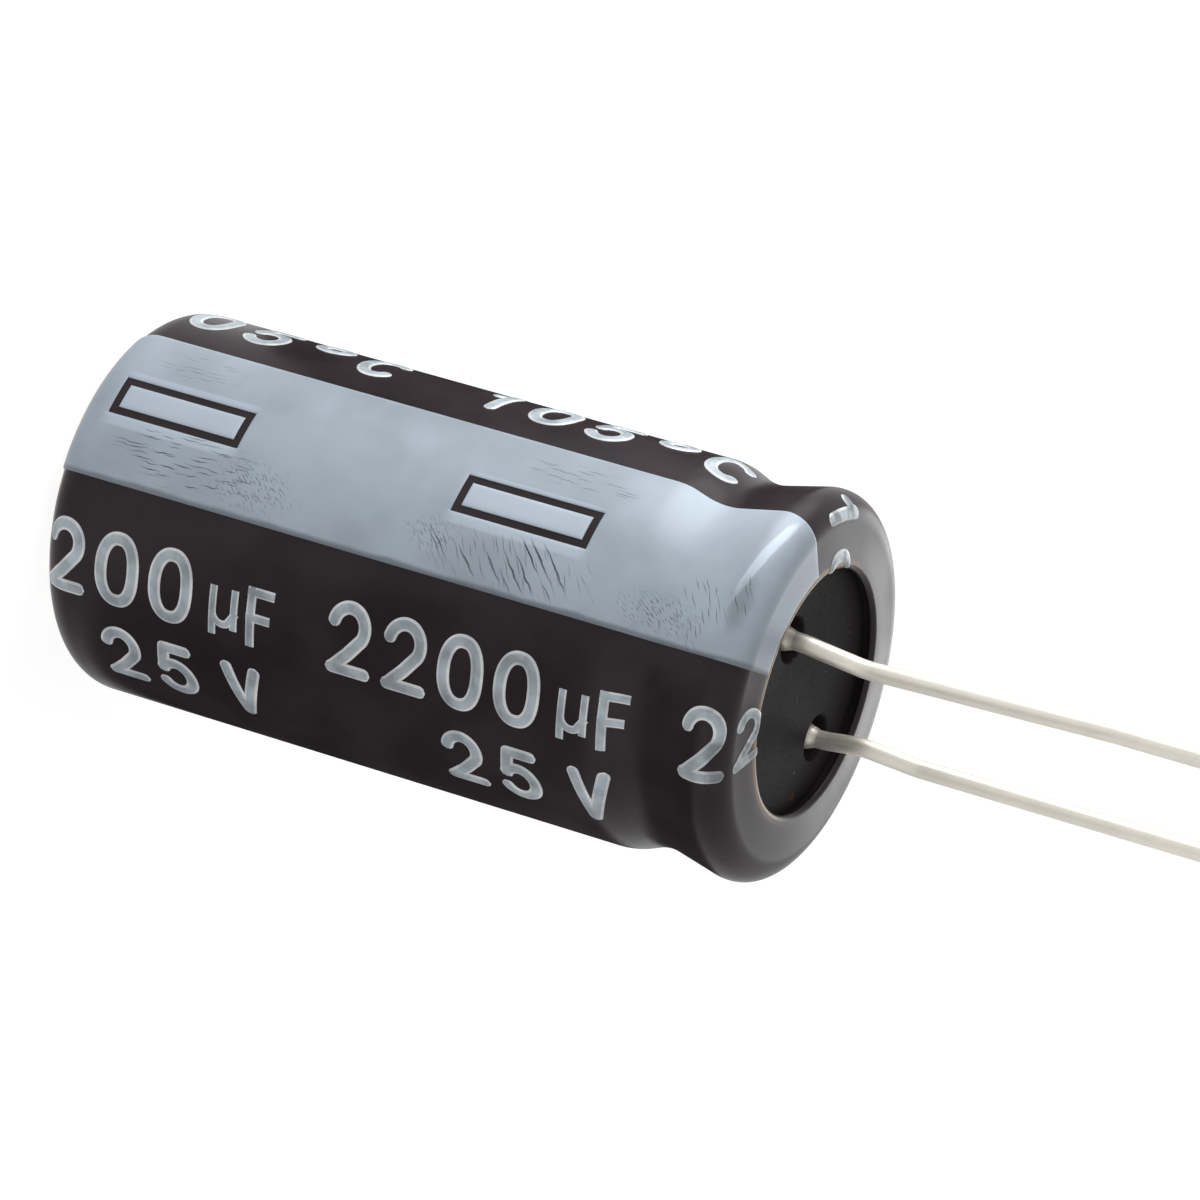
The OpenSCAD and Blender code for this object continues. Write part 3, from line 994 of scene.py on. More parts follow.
class Finish(Wiring):
    """One material with its Principled shader, its place on the film and its grain."""

    def __init__(self, name, turn, fine_scale, broad_scale, **constants):
        self.material = bpy.data.materials.new(name)
        super().__init__(emptied_tree(self.material))
        self.shader = self.add("ShaderNodeBsdfPrincipled")
        self.show(Value(self, self.shader.outputs["BSDF"]))
        self.set(**constants)
        self.place = self.group(film_place_group, Turn=turn)
        self.grain = self.group(grain_group, Position=self.place["Position"],
                                Fine_scale=fine_scale, Broad_scale=broad_scale)

    def group(self, build, **inputs):
        """The outputs of a shared group with these inputs."""
        named = {key.replace("_", " "): value for key, value in inputs.items()}
        return self.all_of("ShaderNodeGroup", named, node_tree=build())

    def set(self, **inputs):
        """Feeds the shader's inputs."""
        for key, value in inputs.items():
            self.put(value, self.shader.inputs[key.replace("_", " ")])

    def bump(self, height, distance_mm, strength):
        """Feeds the shader's normal with a bump this deep."""
        self.set(Normal=self.of("ShaderNodeBump", {
            "Height": height, "Distance": distance_mm * MM, "Strength": strength}, "Normal"))

    def shades(self, factor, tone, low, high):
        """The tone between a darker and a paler one."""
        return self.blend(factor, opaque(tone, low), opaque(tone, high))

    def clouds(self, tone, low, high):
        """The tone with broad darker and paler clouds."""
        return self.shades(self.grain["Broad"].ramp(0.3, 0.7), tone, low, high)


# The painted reflection round the fold: heights over which it fades, radii over which it starts
FOLD_TOP = (0.26, 0.42)
FOLD_START = (5.25, 5.6)


def with_fold_reflection(wiring, tone, finish):
    """The tone with an uneven pale ring painted on the fold round the closed end, a painted
    reflection.
    """
    place = wiring.place
    # Painted reflection: a pale ring on the fold, uneven along it
    ring = place["Along"].fall(*FOLD_TOP) * place["Radius"].ramp(*FOLD_START)
    rubbed = wiring.noise(place["Position"], 0.9, 4.0).ramp(0.35, 0.6, 0.25, 0.85)
    return wiring.blend(ring * rubbed, tone, opaque(finish.fold_reflection))


# Painted light on the film's raw edge: turn of the side in shade, where no pale edge is painted,
# and how far round from it, in millimetres, the painted lit edge starts and ends
SHADED_EDGE_TURN = math.radians(30)
LIT_EDGE_FROM = (8.5, 13.0)
# Millimetres over which the raw edge fades out from the cut and appears above the lap
RAW_WIDTH, RAW_ABOVE = (0.13, 0.2), (0.04, 0.1)


def film_material(finish, sleeve):
    """Dark satin film, its cut edge painted as lit on one side, with a painted fold reflection."""
    wiring = Finish("sleeve_film", SHADED_EDGE_TURN, 14.0, 0.35, Specular_IOR_Level=0.12)
    place = wiring.place
    tone = wiring.clouds(finish.film, 0.85, 1.2)
    edge_r = (CAN_HIGH.x - sleeve.top_lap) / MM
    lap_z = CAN_HIGH.z / MM
    near_edge = place["Radius"].fall(*[edge_r + width for width in RAW_WIDTH])
    raw = near_edge * place["Along"].ramp(*[lap_z + above for above in RAW_ABOVE])
    # Painted light: the pale cut edge is left off the side in shade and painted on the lit side
    raw = raw * abs(place["Around"]).ramp(*LIT_EDGE_FROM)
    tone = wiring.blend(raw, tone, opaque(finish.film_edge_lit))
    wiring.set(Base_Color=with_fold_reflection(wiring, tone, finish))
    wiring.set(Roughness=wiring.grain["Broad"].ramp(0.25, 0.75, 0.27, 0.37))
    wiring.bump(wiring.grain["Fine"], 0.004, 0.5)
    return wiring.material


# Heights over which the digits are rubbed more and more at the rim, and how strongly
DIGITS_RUBBED, DIGITS_GONE = (24.1, 24.7), 0.7


def ink_material(name, finish, tone, sleeve):
    """Silver ink with broad clouds and a painted reflection on the fold where the part stands."""
    stripe = name == "silver_ink"
    broad_scale, low, high = (0.3, 0.86, 1.1) if stripe else (1.1, 0.8, 1.35)
    wiring = Finish(name, sleeve.stripe_turn, 9.0, broad_scale,
                    Metallic=0.12, Specular_IOR_Level=0.3)
    place, grain = wiring.place, wiring.grain
    clean = wiring.clouds(tone, low, high)
    wiring.set(Roughness=grain["Broad"].ramp(0.25, 0.75, 0.38, 0.5))
    if stripe:
        clean, height = worn_stripe(wiring, clean, finish, tone, sleeve)
        wiring.bump(height, 0.012, 0.6)
    else:
        gone = (place["Along"].ramp(*DIGITS_RUBBED)
                * wiring.noise(place["Position"], 1.6).ramp(0.42, 0.6))
        clean = wiring.blend(gone * DIGITS_GONE, clean, opaque(tone, 0.25))
        wiring.bump(grain["Fine"], 0.003, 0.6)
    wiring.set(Base_Color=with_fold_reflection(wiring, clean, finish))
    return wiring.material


# Share of a patch's half size over which it fades, longer where scratches are short
LONG_FADE, SHORT_FADE = 0.8, 0.4


def oval_patch(wiring, centre, half, fade, along=None):
    """Mask of one patch of wear or painted highlight, in millimetres round the stripe and along
    it.
    """
    return wiring.group(
        wear_and_highlight_patch_group, Around=wiring.place["Around"], Along=along or wiring.place["Along"],
        Centre_around=centre[0], Centre_along=centre[1], Half_around=half[0],
        Half_along=half[1], Fade=fade)["Mask"]


# Millimetres over which the stripe's edges turn, each from the edge itself: the lower one dull,
# a painted shade, and the upper one pale, a painted highlight
LOWER_EDGE_SHADE, UPPER_EDGE_HIGHLIGHT = (-0.12, 0.04), (0.1, 0.3)
# Patches by the rim: centre and half size, round and along. The crest is a pale painted
# highlight that slants, and the smudge is dull. RIM_DULL holds the heights over which the ink
# turns dull.
CREST_HIGHLIGHT, CREST_SLANT = ((-0.85, 24.12), (2.2, 0.2)), 0.154
SMUDGE = ((1.0, 24.25), (1.3, 0.42))
RIM_DULL = (24.75, 25.0)


def worn_stripe(wiring, clean, finish, tone, sleeve):
    """Stripe colour and bump: signs, painted edge shade and highlights, scratches, rubbed rim."""
    around, along = wiring.place["Around"], wiring.place["Along"]
    pale, dull = opaque(tone, 1.45), opaque(tone, 0.4)
    clean = wiring.blend(sign_halos(wiring, sleeve), clean, pale)
    half = sleeve.stripe_w / 2 / MM
    uneven = wiring.noise(wiring.vector(along), 0.45).times_plus(0.24, around)
    # Painted shade: the ink darkens towards its lower edge
    lower = uneven.ramp(*[half + in_by for in_by in LOWER_EDGE_SHADE])
    clean = wiring.blend(lower * 0.8, clean, dull)
    # Painted highlight: the ink pales towards its upper edge
    upper = uneven.fall(*[-half + in_by for in_by in UPPER_EDGE_HIGHLIGHT])
    clean = wiring.blend(upper * 0.4, clean, pale)
    # Painted highlight: a pale slanting streak along the rim's crest
    slanted = around.times_plus(CREST_SLANT, along)
    crest = oval_patch(wiring, *CREST_HIGHLIGHT, SHORT_FADE, slanted)
    clean = wiring.blend(crest * 0.85, clean, pale)
    smudge = oval_patch(wiring, *SMUDGE, 0.7)
    clean = wiring.blend(smudge * 0.5, clean, dull)
    clean = wiring.blend(along.ramp(*RIM_DULL) * 0.3, clean, dull)
    marks = stripe_wear(wiring)
    clean = wiring.blend(marks, clean, opaque(finish.ink_wear))
    return clean, wiring.grain["Fine"] * 0.15 - marks


# Scratches of the stripe by their direction in degrees, spacing, length and thickness, each with
# its worn patches: centre and half size in millimetres round and along, and strength
SCRATCHES = [
    (-2, 0.15, 1.2, 0.018, [((1.6, 4.7), (1.05, 3.3), 1.0), ((-1.75, 17.4), (0.6, 2.4), 0.7),
                            ((-1.8, 3.4), (0.7, 1.9), 0.5)]),
    (42, 0.1, 0.36, 0.014, [((1.8, 7.1), (1.15, 2.1), 1.0), ((2.0, 21.7), (0.95, 1.9), 1.0),
                            ((1.6, 13.6), (0.8, 1.2), 0.9)]),
    (46, 0.34, 2.9, 0.036, [((1.8, 16.4), (1.1, 3.6), 1.0)]),
    (58, 0.17, 1.1, 0.014, [((1.85, 16.2), (1.0, 3.7), 0.8), ((1.5, 23.0), (1.6, 1.2), 1.0),
                            ((0.9, 24.3), (1.1, 0.4), 0.9)]),
]
# The row of scratches that has rubbed specks among it
SPECKLED = 1
# Share of the scratches kept, and what sets one row's pattern apart from the next
SCRATCH_DENSITY, SEED_STEP = 0.95, 3.7


def stripe_wear(wiring):
    """Mask of the scratches, cracks and rubbed specks in the stripe's ink."""
    place = wiring.place
    total = 0.0
    for row, (degrees, spacing, length, thick, patches) in enumerate(SCRATCHES):
        where = 0.0
        for centre, half, strength in patches:
            patch = oval_patch(wiring, centre, half, LONG_FADE if length < 1 else SHORT_FADE)
            where = wiring.maths("MAXIMUM", where, patch * strength)
        marks = wiring.group(
            dashes_group, Around=place["Around"], Along=place["Along"],
            Direction=math.radians(degrees), Spacing=spacing, Length=length, Thickness=thick,
            Density=SCRATCH_DENSITY, Seed=SEED_STEP * row)["Mask"]
        if row == SPECKLED:
            specks = wiring.group(specks_group, Position=place["Position"], Spacing=0.09,
                                  Size=0.32, Density=0.6)["Mask"]
            marks = wiring.maths("MAXIMUM", marks, specks * 0.7)
        total = wiring.maths("MAXIMUM", total, marks * where)
    return total


# Width of the bands above and below the first sign, and how much narrower the upper band is
# at the next sign
BAND_ABOVE, BAND_BELOW, BAND_LESS = 0.3, 0.46, 0.12


def sign_halos(wiring, sleeve):
    """Mask of the paler bands beside the minus signs and of their pale middles."""
    total = 0.0
    for index in range(SIGNS):
        middle = (sleeve.sign_z + index * sleeve.print_pitch + sleeve.sign_l / 2) / MM
        band = wiring.group(
            halo_group, Around=wiring.place["Around"], Along=wiring.place["Along"],
            Centre_along=middle, Half_around=sleeve.sign_w / 2 / MM,
            Half_along=sleeve.sign_l / 2 / MM, Line=sleeve.sign_line / MM,
            Above=BAND_ABOVE - BAND_LESS * index, Below=BAND_BELOW)["Mask"]
        total = wiring.maths("MAXIMUM", total, band)
    return total


# Traces on the seal's face: place in millimetres, reach and kind
SEAL_TRACES = [
    ((3.17, -1.95), 0.22, "stain"),
    ((2.41, -1.55), 0.09, "scuff"),
    ((-1.75, -0.16), 0.07, "scuff"),
    ((-0.11, -0.49), 0.06, "scuff"),
]
DUST = (0.2, 0.2, 0.19)
SCUFF = (0.11, 0.11, 0.11)


def rubber_material(finish):
    """Matt black rubber with a fine grain, a dried stain and a little dust."""
    wiring = Finish("seal_rubber", 0.0, 18.0, 0.8, Specular_IOR_Level=0.06)
    place, grain = wiring.place, wiring.grain
    tone = wiring.shades(grain["Broad"], finish.rubber, 0.7, 1.3)
    dust = wiring.group(specks_group, Position=place["Position"], Spacing=0.6, Size=0.16,
                        Density=0.25)["Mask"]
    tone = wiring.blend(dust * 0.35, tone, opaque(DUST))
    for (x, y), reach, trace in SEAL_TRACES:
        spot = (x, y, SEAL_HIGH.z / MM)
        away = wiring.vectors("DISTANCE", {0: place["Position"], 1: spot}, "Value")
        ragged = grain["Fine"].times_plus(reach, away)
        dried = opaque(finish.stain if trace == "stain" else SCUFF)
        tone = wiring.blend(ragged.fall(reach * 0.6, reach * 1.5) * 0.75, tone, dried)
    wiring.set(Base_Color=tone)
    wiring.set(Roughness=grain["Fine"].ramp(0.3, 0.7, 0.6, 0.8))
    wiring.bump(grain["Fine"], 0.02, 0.7)
    return wiring.material


def metal_material(name, tone, rough, stretch, line_scale, metallic=1.0):
    """Bare metal with fine lines, which are noise stretched along or round it."""
    wiring = Finish(name, 0.0, 20.0, 0.9, Metallic=metallic)
    stretched = wiring.vectors("MULTIPLY", {0: wiring.place["Position"], 1: stretch})
    lines = wiring.noise(stretched, line_scale, 3.0, 0.6)
    wiring.set(Base_Color=wiring.clouds(tone, 0.96, 1.02))
    wiring.set(Roughness=lines.ramp(0.3, 0.7, rough * 0.85, rough * 1.15))
    wiring.bump(lines, 0.0008, 0.25)
    return wiring.material


def plain_material(name, tone, fine_scale, rough):
    """Matt paper or tape with a fibrous grain."""
    wiring = Finish(name, 0.0, fine_scale, 0.6, Specular_IOR_Level=0.3)
    grain = wiring.grain
    wiring.set(Base_Color=wiring.shades(grain["Fine"], tone, 0.75, 1.15))
    wiring.set(Roughness=grain["Broad"].ramp(0.3, 0.7, rough * 0.9, rough * 1.1))
    wiring.bump(grain["Fine"], 0.01, 0.5)
    return wiring.material


# Operators

class CAPACITOR_OT_sleeve(Operator):
    """Make the shrunk sleeve with its laps over both ends"""

    bl_idname = "capacitor.sleeve"
    bl_label = "Sleeve"

    def execute(self, context):
        can, sleeve = context.scene.capacitor_can, context.scene.capacitor_sleeve
        line = filled_in(film_line(can, sleeve), WALL_STEP)
        outside = film_outside(line, sleeve)
        outline = outside + moved_out(line, sleeve.fit)[::-1]
        cuts = {0, len(outside) - 1, len(outside), len(outline) - 1}
        outline = softened(outline, cuts, sleeve.cut_round)
        r, z = (np.repeat(column[:, None], SIDES, axis=1) for column in np.array(outline).T)
        turn = np.linspace(0, 2 * math.pi, SIDES, endpoint=False)[None, :]
        points = about_axis(r + film_shift(can, sleeve, r, z, turn), z, turn)
        piece = new_object("shrunk_sleeve", points, ring_faces(len(outline), SIDES))
        finished(piece, film_material(context.scene.capacitor_finish, sleeve))
        enrol(piece, "sleeve_film", "sleeve")
        return {"FINISHED"}


# Steps from an edge of the ink, as shares of the width over which the ink swells
NEAR_EDGE = (0, 0.07, 0.2, 0.42, 0.7, 1)
# Steps across and along the ink away from its edges, and places that count as one
ACROSS_STEP, ALONG_STEP = 0.3 * MM, 0.5 * MM
SAME_PLACE = 0.005 * MM
# How far past the stripe's ends a place may lie by rounding
ROUNDING = 1e-9


def graded(low, high, reach, inner_step):
    """Places from low to high, close together within reach of both ends."""
    near = [reach * part for part in NEAR_EDGE]
    places = [low + step for step in near] + [high - step for step in near]
    inner = high - low - 2 * reach
    count = max(1, math.ceil(inner / inner_step))
    return places + [low + reach + inner * part / count for part in range(count)]


def edge_places(low, high, reach):
    """Places close together on both sides of two edges."""
    near = [reach * part for part in NEAR_EDGE]
    return [edge + side * step for edge in (low, high) for side in (-1, 1) for step in near]


def joined_places(*lists):
    """Sorted places of several lists without those that nearly coincide."""
    places = []
    for place in sorted(value for values in lists for value in values):
        if not places or place - places[-1] > SAME_PLACE:
            places.append(place)
    return np.array(places)


def box_distance(across, along, box):
    """Signed distance to a box (low across, high across, low along, high along)."""
    dx = np.maximum(box[0] - across, across - box[1])
    dy = np.maximum(box[2] - along, along - box[3])
    outside = np.hypot(np.maximum(dx, 0), np.maximum(dy, 0))
    return outside + np.minimum(np.maximum(dx, dy), 0)


class CAPACITOR_OT_stripe(Operator):
    """Make the stripe of silver ink with its boxed minus signs"""

    bl_idname = "capacitor.stripe"
    bl_label = "Polarity stripe"

    def execute(self, context):
        can, sleeve = context.scene.capacitor_can, context.scene.capacitor_sleeve
        meridian = Meridian(can, sleeve)
        half, swell_w, line = sleeve.stripe_w / 2, sleeve.ink_round, sleeve.sign_line
        foot = meridian.foot(sleeve.stripe_z)
        head = float(meridian.lengths[-1]) - sleeve.ink_back
        frames = []
        for index in range(SIGNS):
            low = sleeve.sign_z + index * sleeve.print_pitch
            outer = (-sleeve.sign_w / 2, sleeve.sign_w / 2, low, low + sleeve.sign_l)
            frames.append(
                (outer, (outer[0] + line, outer[1] - line, outer[2] + line, outer[3] - line)))
        across = joined_places(
            graded(-half, half, swell_w, ACROSS_STEP),
            *[edge_places(box[0], box[1], swell_w) for box in frames[0]])
        along = joined_places(
            graded(foot, head, swell_w, ALONG_STEP), meridian.lengths[1:-1],
            *[edge_places(box[2], box[3], swell_w) for pair in frames for box in pair])
        along = along[(along >= foot - ROUNDING) & (along <= head + ROUNDING)]
        sheet = (-half, half, foot, head)
        piece = ink_sheet("polarity_stripe", across, along, sheet, frames, meridian, can, sleeve)
        finish = context.scene.capacitor_finish
        finished(piece, ink_material("silver_ink", finish, finish.ink, sleeve))
        enrol(piece, "silver_ink", "negative_stripe")
        return {"FINISHED"}


def ink_depth(across, along, sheet, frames):
    """How far places lie inside the ink: negative where the film is bare."""
    depth = -box_distance(across, along, sheet)
    for outer, inner in frames:
        bare = np.minimum(-box_distance(across, along, outer), box_distance(across, along, inner))
        depth = np.minimum(depth, -bare)
    return depth


def ink_sheet(name, across, along, sheet, frames, meridian, can, sleeve):
    """Closed mesh of the ink on a grid of places across and along the stripe."""
    u, s = np.meshgrid(across, along, indexing="ij")
    part = np.clip(ink_depth(u, s, sheet, frames) / sleeve.ink_round, 0, 1)
    swell = np.sqrt(1 - (1 - part) ** 2)
    height = sleeve.ink_edge + (sleeve.ink_t - sleeve.ink_edge) * swell
    turn = sleeve.stripe_turn + u / meridian.radius

    def layer(lift):
        r, z = meridian.at(s, sleeve.fit + lift)
        return about_axis(r + film_shift(can, sleeve, r, z, turn), z, turn)

    top, bottom = layer(height), layer(0.0)
    mid_u, mid_s = (u[:-1, :-1] + u[1:, 1:]) / 2, (s[:-1, :-1] + s[1:, 1:]) / 2
    inked = ink_depth(mid_u, mid_s, sheet, frames) > 0
    bordered = np.pad(inked, 1)
    columns, below = len(along), len(top)
    faces = []
    for i, j in np.argwhere(inked).tolist():
        a, b = i * columns + j, (i + 1) * columns + j
        faces.append((a, b, b + 1, a + 1))
        faces.append((below + a, below + a + 1, below + b + 1, below + b))
        sides = [(1, 0, b, a), (1, 2, a + 1, b + 1), (0, 1, a, a + 1), (2, 1, b + 1, b)]
        for di, dj, p, q in sides:
            if not bordered[i + di, j + dj]:
                faces.append((p, q, below + q, below + p))
    piece = new_object(name, np.concatenate([top, bottom]), faces)
    with edited(piece.data) as work:
        loose = [vert for vert in work.verts if not vert.link_faces]
        bmesh.ops.delete(work, geom=loose, context="VERTS")
    return piece


# Upward part of a face's normal below which it belongs to a stroke's swollen edge, which is
# given a painted highlight
EDGE_NORMAL = 0.972
# Sides of a stroke's section
STROKE_SIDES = 14


class CAPACITOR_OT_rating(Operator):
    """Print the rating round the sleeve"""

    bl_idname = "capacitor.rating"
    bl_label = "Rating print"

    def execute(self, context):
        can, sleeve = context.scene.capacitor_can, context.scene.capacitor_sleeve
        rating, finish = context.scene.capacitor_print, context.scene.capacitor_finish
        meridian = Meridian(can, sleeve)
        material = ink_material("digit_ink", finish, finish.digit_ink, sleeve)
        # Painted highlight: the same ink, paler, for the strokes' sloping sides
        edge = ink_material("digit_edge_highlight", finish, finish.digit_edge_highlight, sleeve)
        piece = rating_strokes(rating, meridian.radius).made("rating_print")
        run_tree(
            piece, sweep_tree, Width=rating.stroke_w, Height=2 * rating.stroke_t,
            Sides=STROKE_SIDES, Copies=rating.copies, Pitch=sleeve.print_pitch,
            Material=material, **{"First copy": -1.0})
        start, end = float(meridian.lengths[0]), float(meridian.lengths[-1])
        cut_flat(piece, meridian.foot(sleeve.stripe_z), end - sleeve.cut_round)
        # Faces on the strokes' sloping sides, which take the painted highlight
        thick = [abs(face.normal.z) < EDGE_NORMAL for face in piece.data.polygons]
        guide = new_object(
            "film_meridian", [(r, 0, z) for r, z in meridian.points],
            edges=[(index, index + 1) for index in range(len(meridian.points) - 1)])
        run_tree(piece, wrap_tree, Meridian=guide, Material=material,
                 **{"Film radius": meridian.radius, "Meridian start": start})
        bpy.data.objects.remove(guide)
        finished(piece, material)
        piece.data.materials.append(edge)
        piece.data.polygons.foreach_set("material_index", thick)
        enrol(piece, "silver_ink")
        return {"FINISHED"}


class CAPACITOR_OT_seal(Operator):
    """Make the rubber seal with its two holes"""

    bl_idname = "capacitor.seal"
    bl_label = "Seal"

    def execute(self, context):
        scene = context.scene
        can, sleeve, seal = scene.capacitor_can, scene.capacitor_sleeve, scene.capacitor_seal
        piece = seal_mesh(can, sleeve, seal, scene.capacitor_leads.lead_pitch / 2)
        finished(piece, rubber_material(scene.capacitor_finish))
        enrol(piece, "seal_rubber", "seal")
        return {"FINISHED"}


def seal_outline(can, sleeve, seal):
    """Line up the seal's side, from the flat of its inner face to the flat of its outer one."""
    corners = can_corners(can)
    off = -can.can_t - sleeve.fit
    wall = can.can_d / 2
    foot, face = SEAL_LOW.z, SEAL_HIGH.z
    curl_in = CAN_HIGH.x - can.rim_w
    slot_out = curl_in + can.can_t + sleeve.fit
    slot_in = curl_in - sleeve.fit
    slot_z = CAN_HIGH.z - can.curl_h - sleeve.fit
    side = rounded_line(
        Vector((wall, foot)), [*corners["bead"], corners["rim"]],
        Vector((curl_in, CAN_HIGH.z)))
    line = [Vector((wall + off - seal.seal_bevel, foot)),
            Vector((wall + off, foot + seal.seal_bevel))]
    line += moved_out(side, off)
    line += [Vector((slot_out, CAN_HIGH.z + off)), Vector((slot_out, slot_z)),
             Vector((slot_in, slot_z))]
    collar_z = CAN_HIGH.z - seal.collar_gap
    collar_in = slot_in - seal.collar_w
    edge = seal.collar_round
    rounds = rounded_line(
        Vector((slot_in, slot_z)),
        [(Vector((slot_in, collar_z)), edge), (Vector((collar_in, collar_z)), edge),
         (Vector((collar_in, face)), edge)],
        Vector((collar_in - 2 * edge, face)), COLLAR_TURN)
    return line + [point for point, _ in rounds]


def add_ring(work, centre_x, radius, z, sides):
    """A ring of points about an upright line."""
    ring = []
    for side in range(sides):
        turn = 2 * math.pi * side / sides
        ring.append(work.verts.new(
            (centre_x + radius * math.cos(turn), radius * math.sin(turn), z)))
    return ring


def skin_rings(work, rings):
    """Faces between neighbouring rings of points."""
    for low, high in zip(rings, rings[1:]):
        for side, point in enumerate(low):
            beside = (side + 1) % len(low)
            work.faces.new((point, low[beside], high[beside], high[side]))


def ring_edges(ring):
    """Edges that join a ring's points."""
    pairs = zip(ring, ring[1:] + ring[:1])
    return [edge for p, q in pairs for edge in p.link_edges if edge.other_vert(p) == q]


def seal_mesh(can, sleeve, seal, hole_x):
    """The seal as a closed mesh."""
    piece = new_object("rubber_seal")
    with edited(piece.data) as work:
        outside = [add_ring(work, 0, r, z, SIDES) for r, z in seal_outline(can, sleeve, seal)]
        skin_rings(work, outside)
        hole_r = seal.hole_d / 2
        top_edges, foot_edges = ring_edges(outside[-1]), ring_edges(outside[0])
        for centre in (-hole_x, hole_x):
            rings = [add_ring(work, centre, hole_r, SEAL_LOW.z, HOLE_SIDES)]
            for step in range(HOLE_STEPS + 1):
                turn = math.radians(90 * step / HOLE_STEPS)
                rings.append(add_ring(
                    work, centre, hole_r + seal.hole_round * (1 - math.cos(turn)),
                    SEAL_HIGH.z - seal.hole_round * (1 - math.sin(turn)), HOLE_SIDES))
            skin_rings(work, rings)
            foot_edges += ring_edges(rings[0])
            top_edges += ring_edges(rings[-1])
        for edges, normal in ((top_edges, (0, 0, 1)), (foot_edges, (0, 0, -1))):
            bmesh.ops.triangle_fill(work, use_beauty=True, edges=edges, normal=normal)
    return piece


class CAPACITOR_OT_leads(Operator):
    """Make the two tinned leads"""

    bl_idname = "capacitor.leads"
    bl_label = "Leads"

    def execute(self, context):
        leads = context.scene.capacitor_leads
        tin = metal_material("tinned_wire", context.scene.capacitor_finish.tin, 0.42,
                             (1.0, 1.0, 0.04), 9.0, 0.6)
        shapes = [
            ("anode_wire", "anode_lead", 1, leads.anode_in, leads.anode_out,
             leads.anode_shift, ANODE_TIP),
            ("cathode_wire", "cathode_lead", -1, leads.cathode_in, leads.cathode_out,
             leads.cathode_shift, CATHODE_TIP),
        ]
        for name, node, *shape in shapes:
            book = WireBook()
            book.add(*lead_path(leads, *shape))
            piece = book.made(name)
            run_tree(piece, sweep_tree, Width=leads.lead_d, Height=leads.lead_d,
                     Sides=leads.wire_sides, Material=tin)
            finished(piece, tin)
            enrol(piece, "tinned_wire", node)
        return {"FINISHED"}


def lead_path(leads, side, lean_in, lean_out, shift, tip):
    """Points of a lead from its weld to its cut end, and the girth at each."""
    pin_x, bend_r = leads.lead_pitch / 2, leads.bend_r
    leave_z = SEAL_HIGH.z + leads.bend_start
    turn_z = leave_z + shift / math.tan(lean_in)
    back_z = turn_z + shift / math.tan(lean_out)
    corners = [(Vector((pin_x, leave_z)), bend_r), (Vector((pin_x - shift, turn_z)), bend_r),
               (Vector((pin_x, back_z)), bend_r)]
    foot, end = Vector((pin_x, POST_Z)), Vector((pin_x, tip))
    bends = [point for point, _ in rounded_line(foot, corners, end, BEND_TURN)]
    cut = Vector((pin_x, tip - leads.tip_bevel))
    path = even_points([foot] + bends + [cut], WIRE_STEP) + [end]
    weld_top = bends[0].y
    girths = []
    for point in path:
        part = max(0, (weld_top - point.y) / (weld_top - POST_Z))
        girths.append(1 + (leads.weld_d / leads.lead_d - 1) * part)
    girths[-1] = 1 - 2 * leads.tip_bevel / leads.lead_d
    return [Vector((side * point.x, 0, point.y)) for point in path], girths


class CAPACITOR_OT_dress_inside(Operator):
    """Give the can and the pieces inside it their materials"""

    bl_idname = "capacitor.dress_inside"
    bl_label = "Can and inside"

    def execute(self, context):
        finish = context.scene.capacitor_finish
        aluminium = metal_material(
            "can_aluminium", finish.aluminium, 0.38, (1.0, 1.0, 0.1), 6.0)
        tab = metal_material("tab_aluminium", finish.aluminium, 0.3, (1.0, 1.0, 0.05), 8.0)
        paper = plain_material("winding_paper", finish.paper, 5.0, 0.9)
        tape = plain_material("closing_tape", finish.tape, 3.0, 0.6)
        dress = {"can": aluminium, "anode_tab": tab, "cathode_tab": tab, "winding": paper,
                 "winding_tape": tape}
        for node, material in dress.items():
            dressed(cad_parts[node].data, material)
        return {"FINISHED"}


class CAPACITOR_OT_stage(Operator):
    """Set the floor, the background, the lamps and the camera"""

    bl_idname = "capacitor.stage"
    bl_label = "Stage"

    def execute(self, context):
        settings, finish = context.scene.capacitor_stage, context.scene.capacitor_finish
        context.scene.view_settings.view_transform = "Standard"
        set_background(context.scene, settings)
        add_floor(settings, finish)
        add_dark_cards()
        for lamp in LAMPS:
            add_lamp(**lamp)
        add_camera(context.scene, settings)
        return {"FINISHED"}


WHITE = opaque((1.0, 1.0, 1.0))
CARD_BLACK = opaque((0.03, 0.03, 0.03))


def white_strength(wiring, light):
    """1 for the rays that show the background, camera, glossy and transmission, else light."""
    rays = wiring.all_of("ShaderNodeLightPath")
    seen = wiring.maths("MAXIMUM", rays["Is Camera Ray"], rays["Is Glossy Ray"])
    seen = wiring.maths("MAXIMUM", seen, rays["Is Transmission Ray"])
    return seen.times_plus(1 - light, light)


def set_background(scene, settings):
    """White where it is seen, and a plain light on matt surfaces."""
    world = bpy.data.worlds.new("studio")
    wiring = Wiring(emptied_tree(world))
    strength = white_strength(wiring, settings.world_light)
    white = wiring.of("ShaderNodeBackground", {"Color": WHITE, "Strength": strength})
    wiring.show(white, "ShaderNodeOutputWorld")
    scene.world = world


def stage_material(piece, name):
    """Wiring of a new material, which the stage piece gets."""
    material = bpy.data.materials.new(name)
    piece.data.materials.append(material)
    return Wiring(emptied_tree(material))


# Just under the part, so that the two faces don't coincide
FLOOR_Z = -0.02 * MM


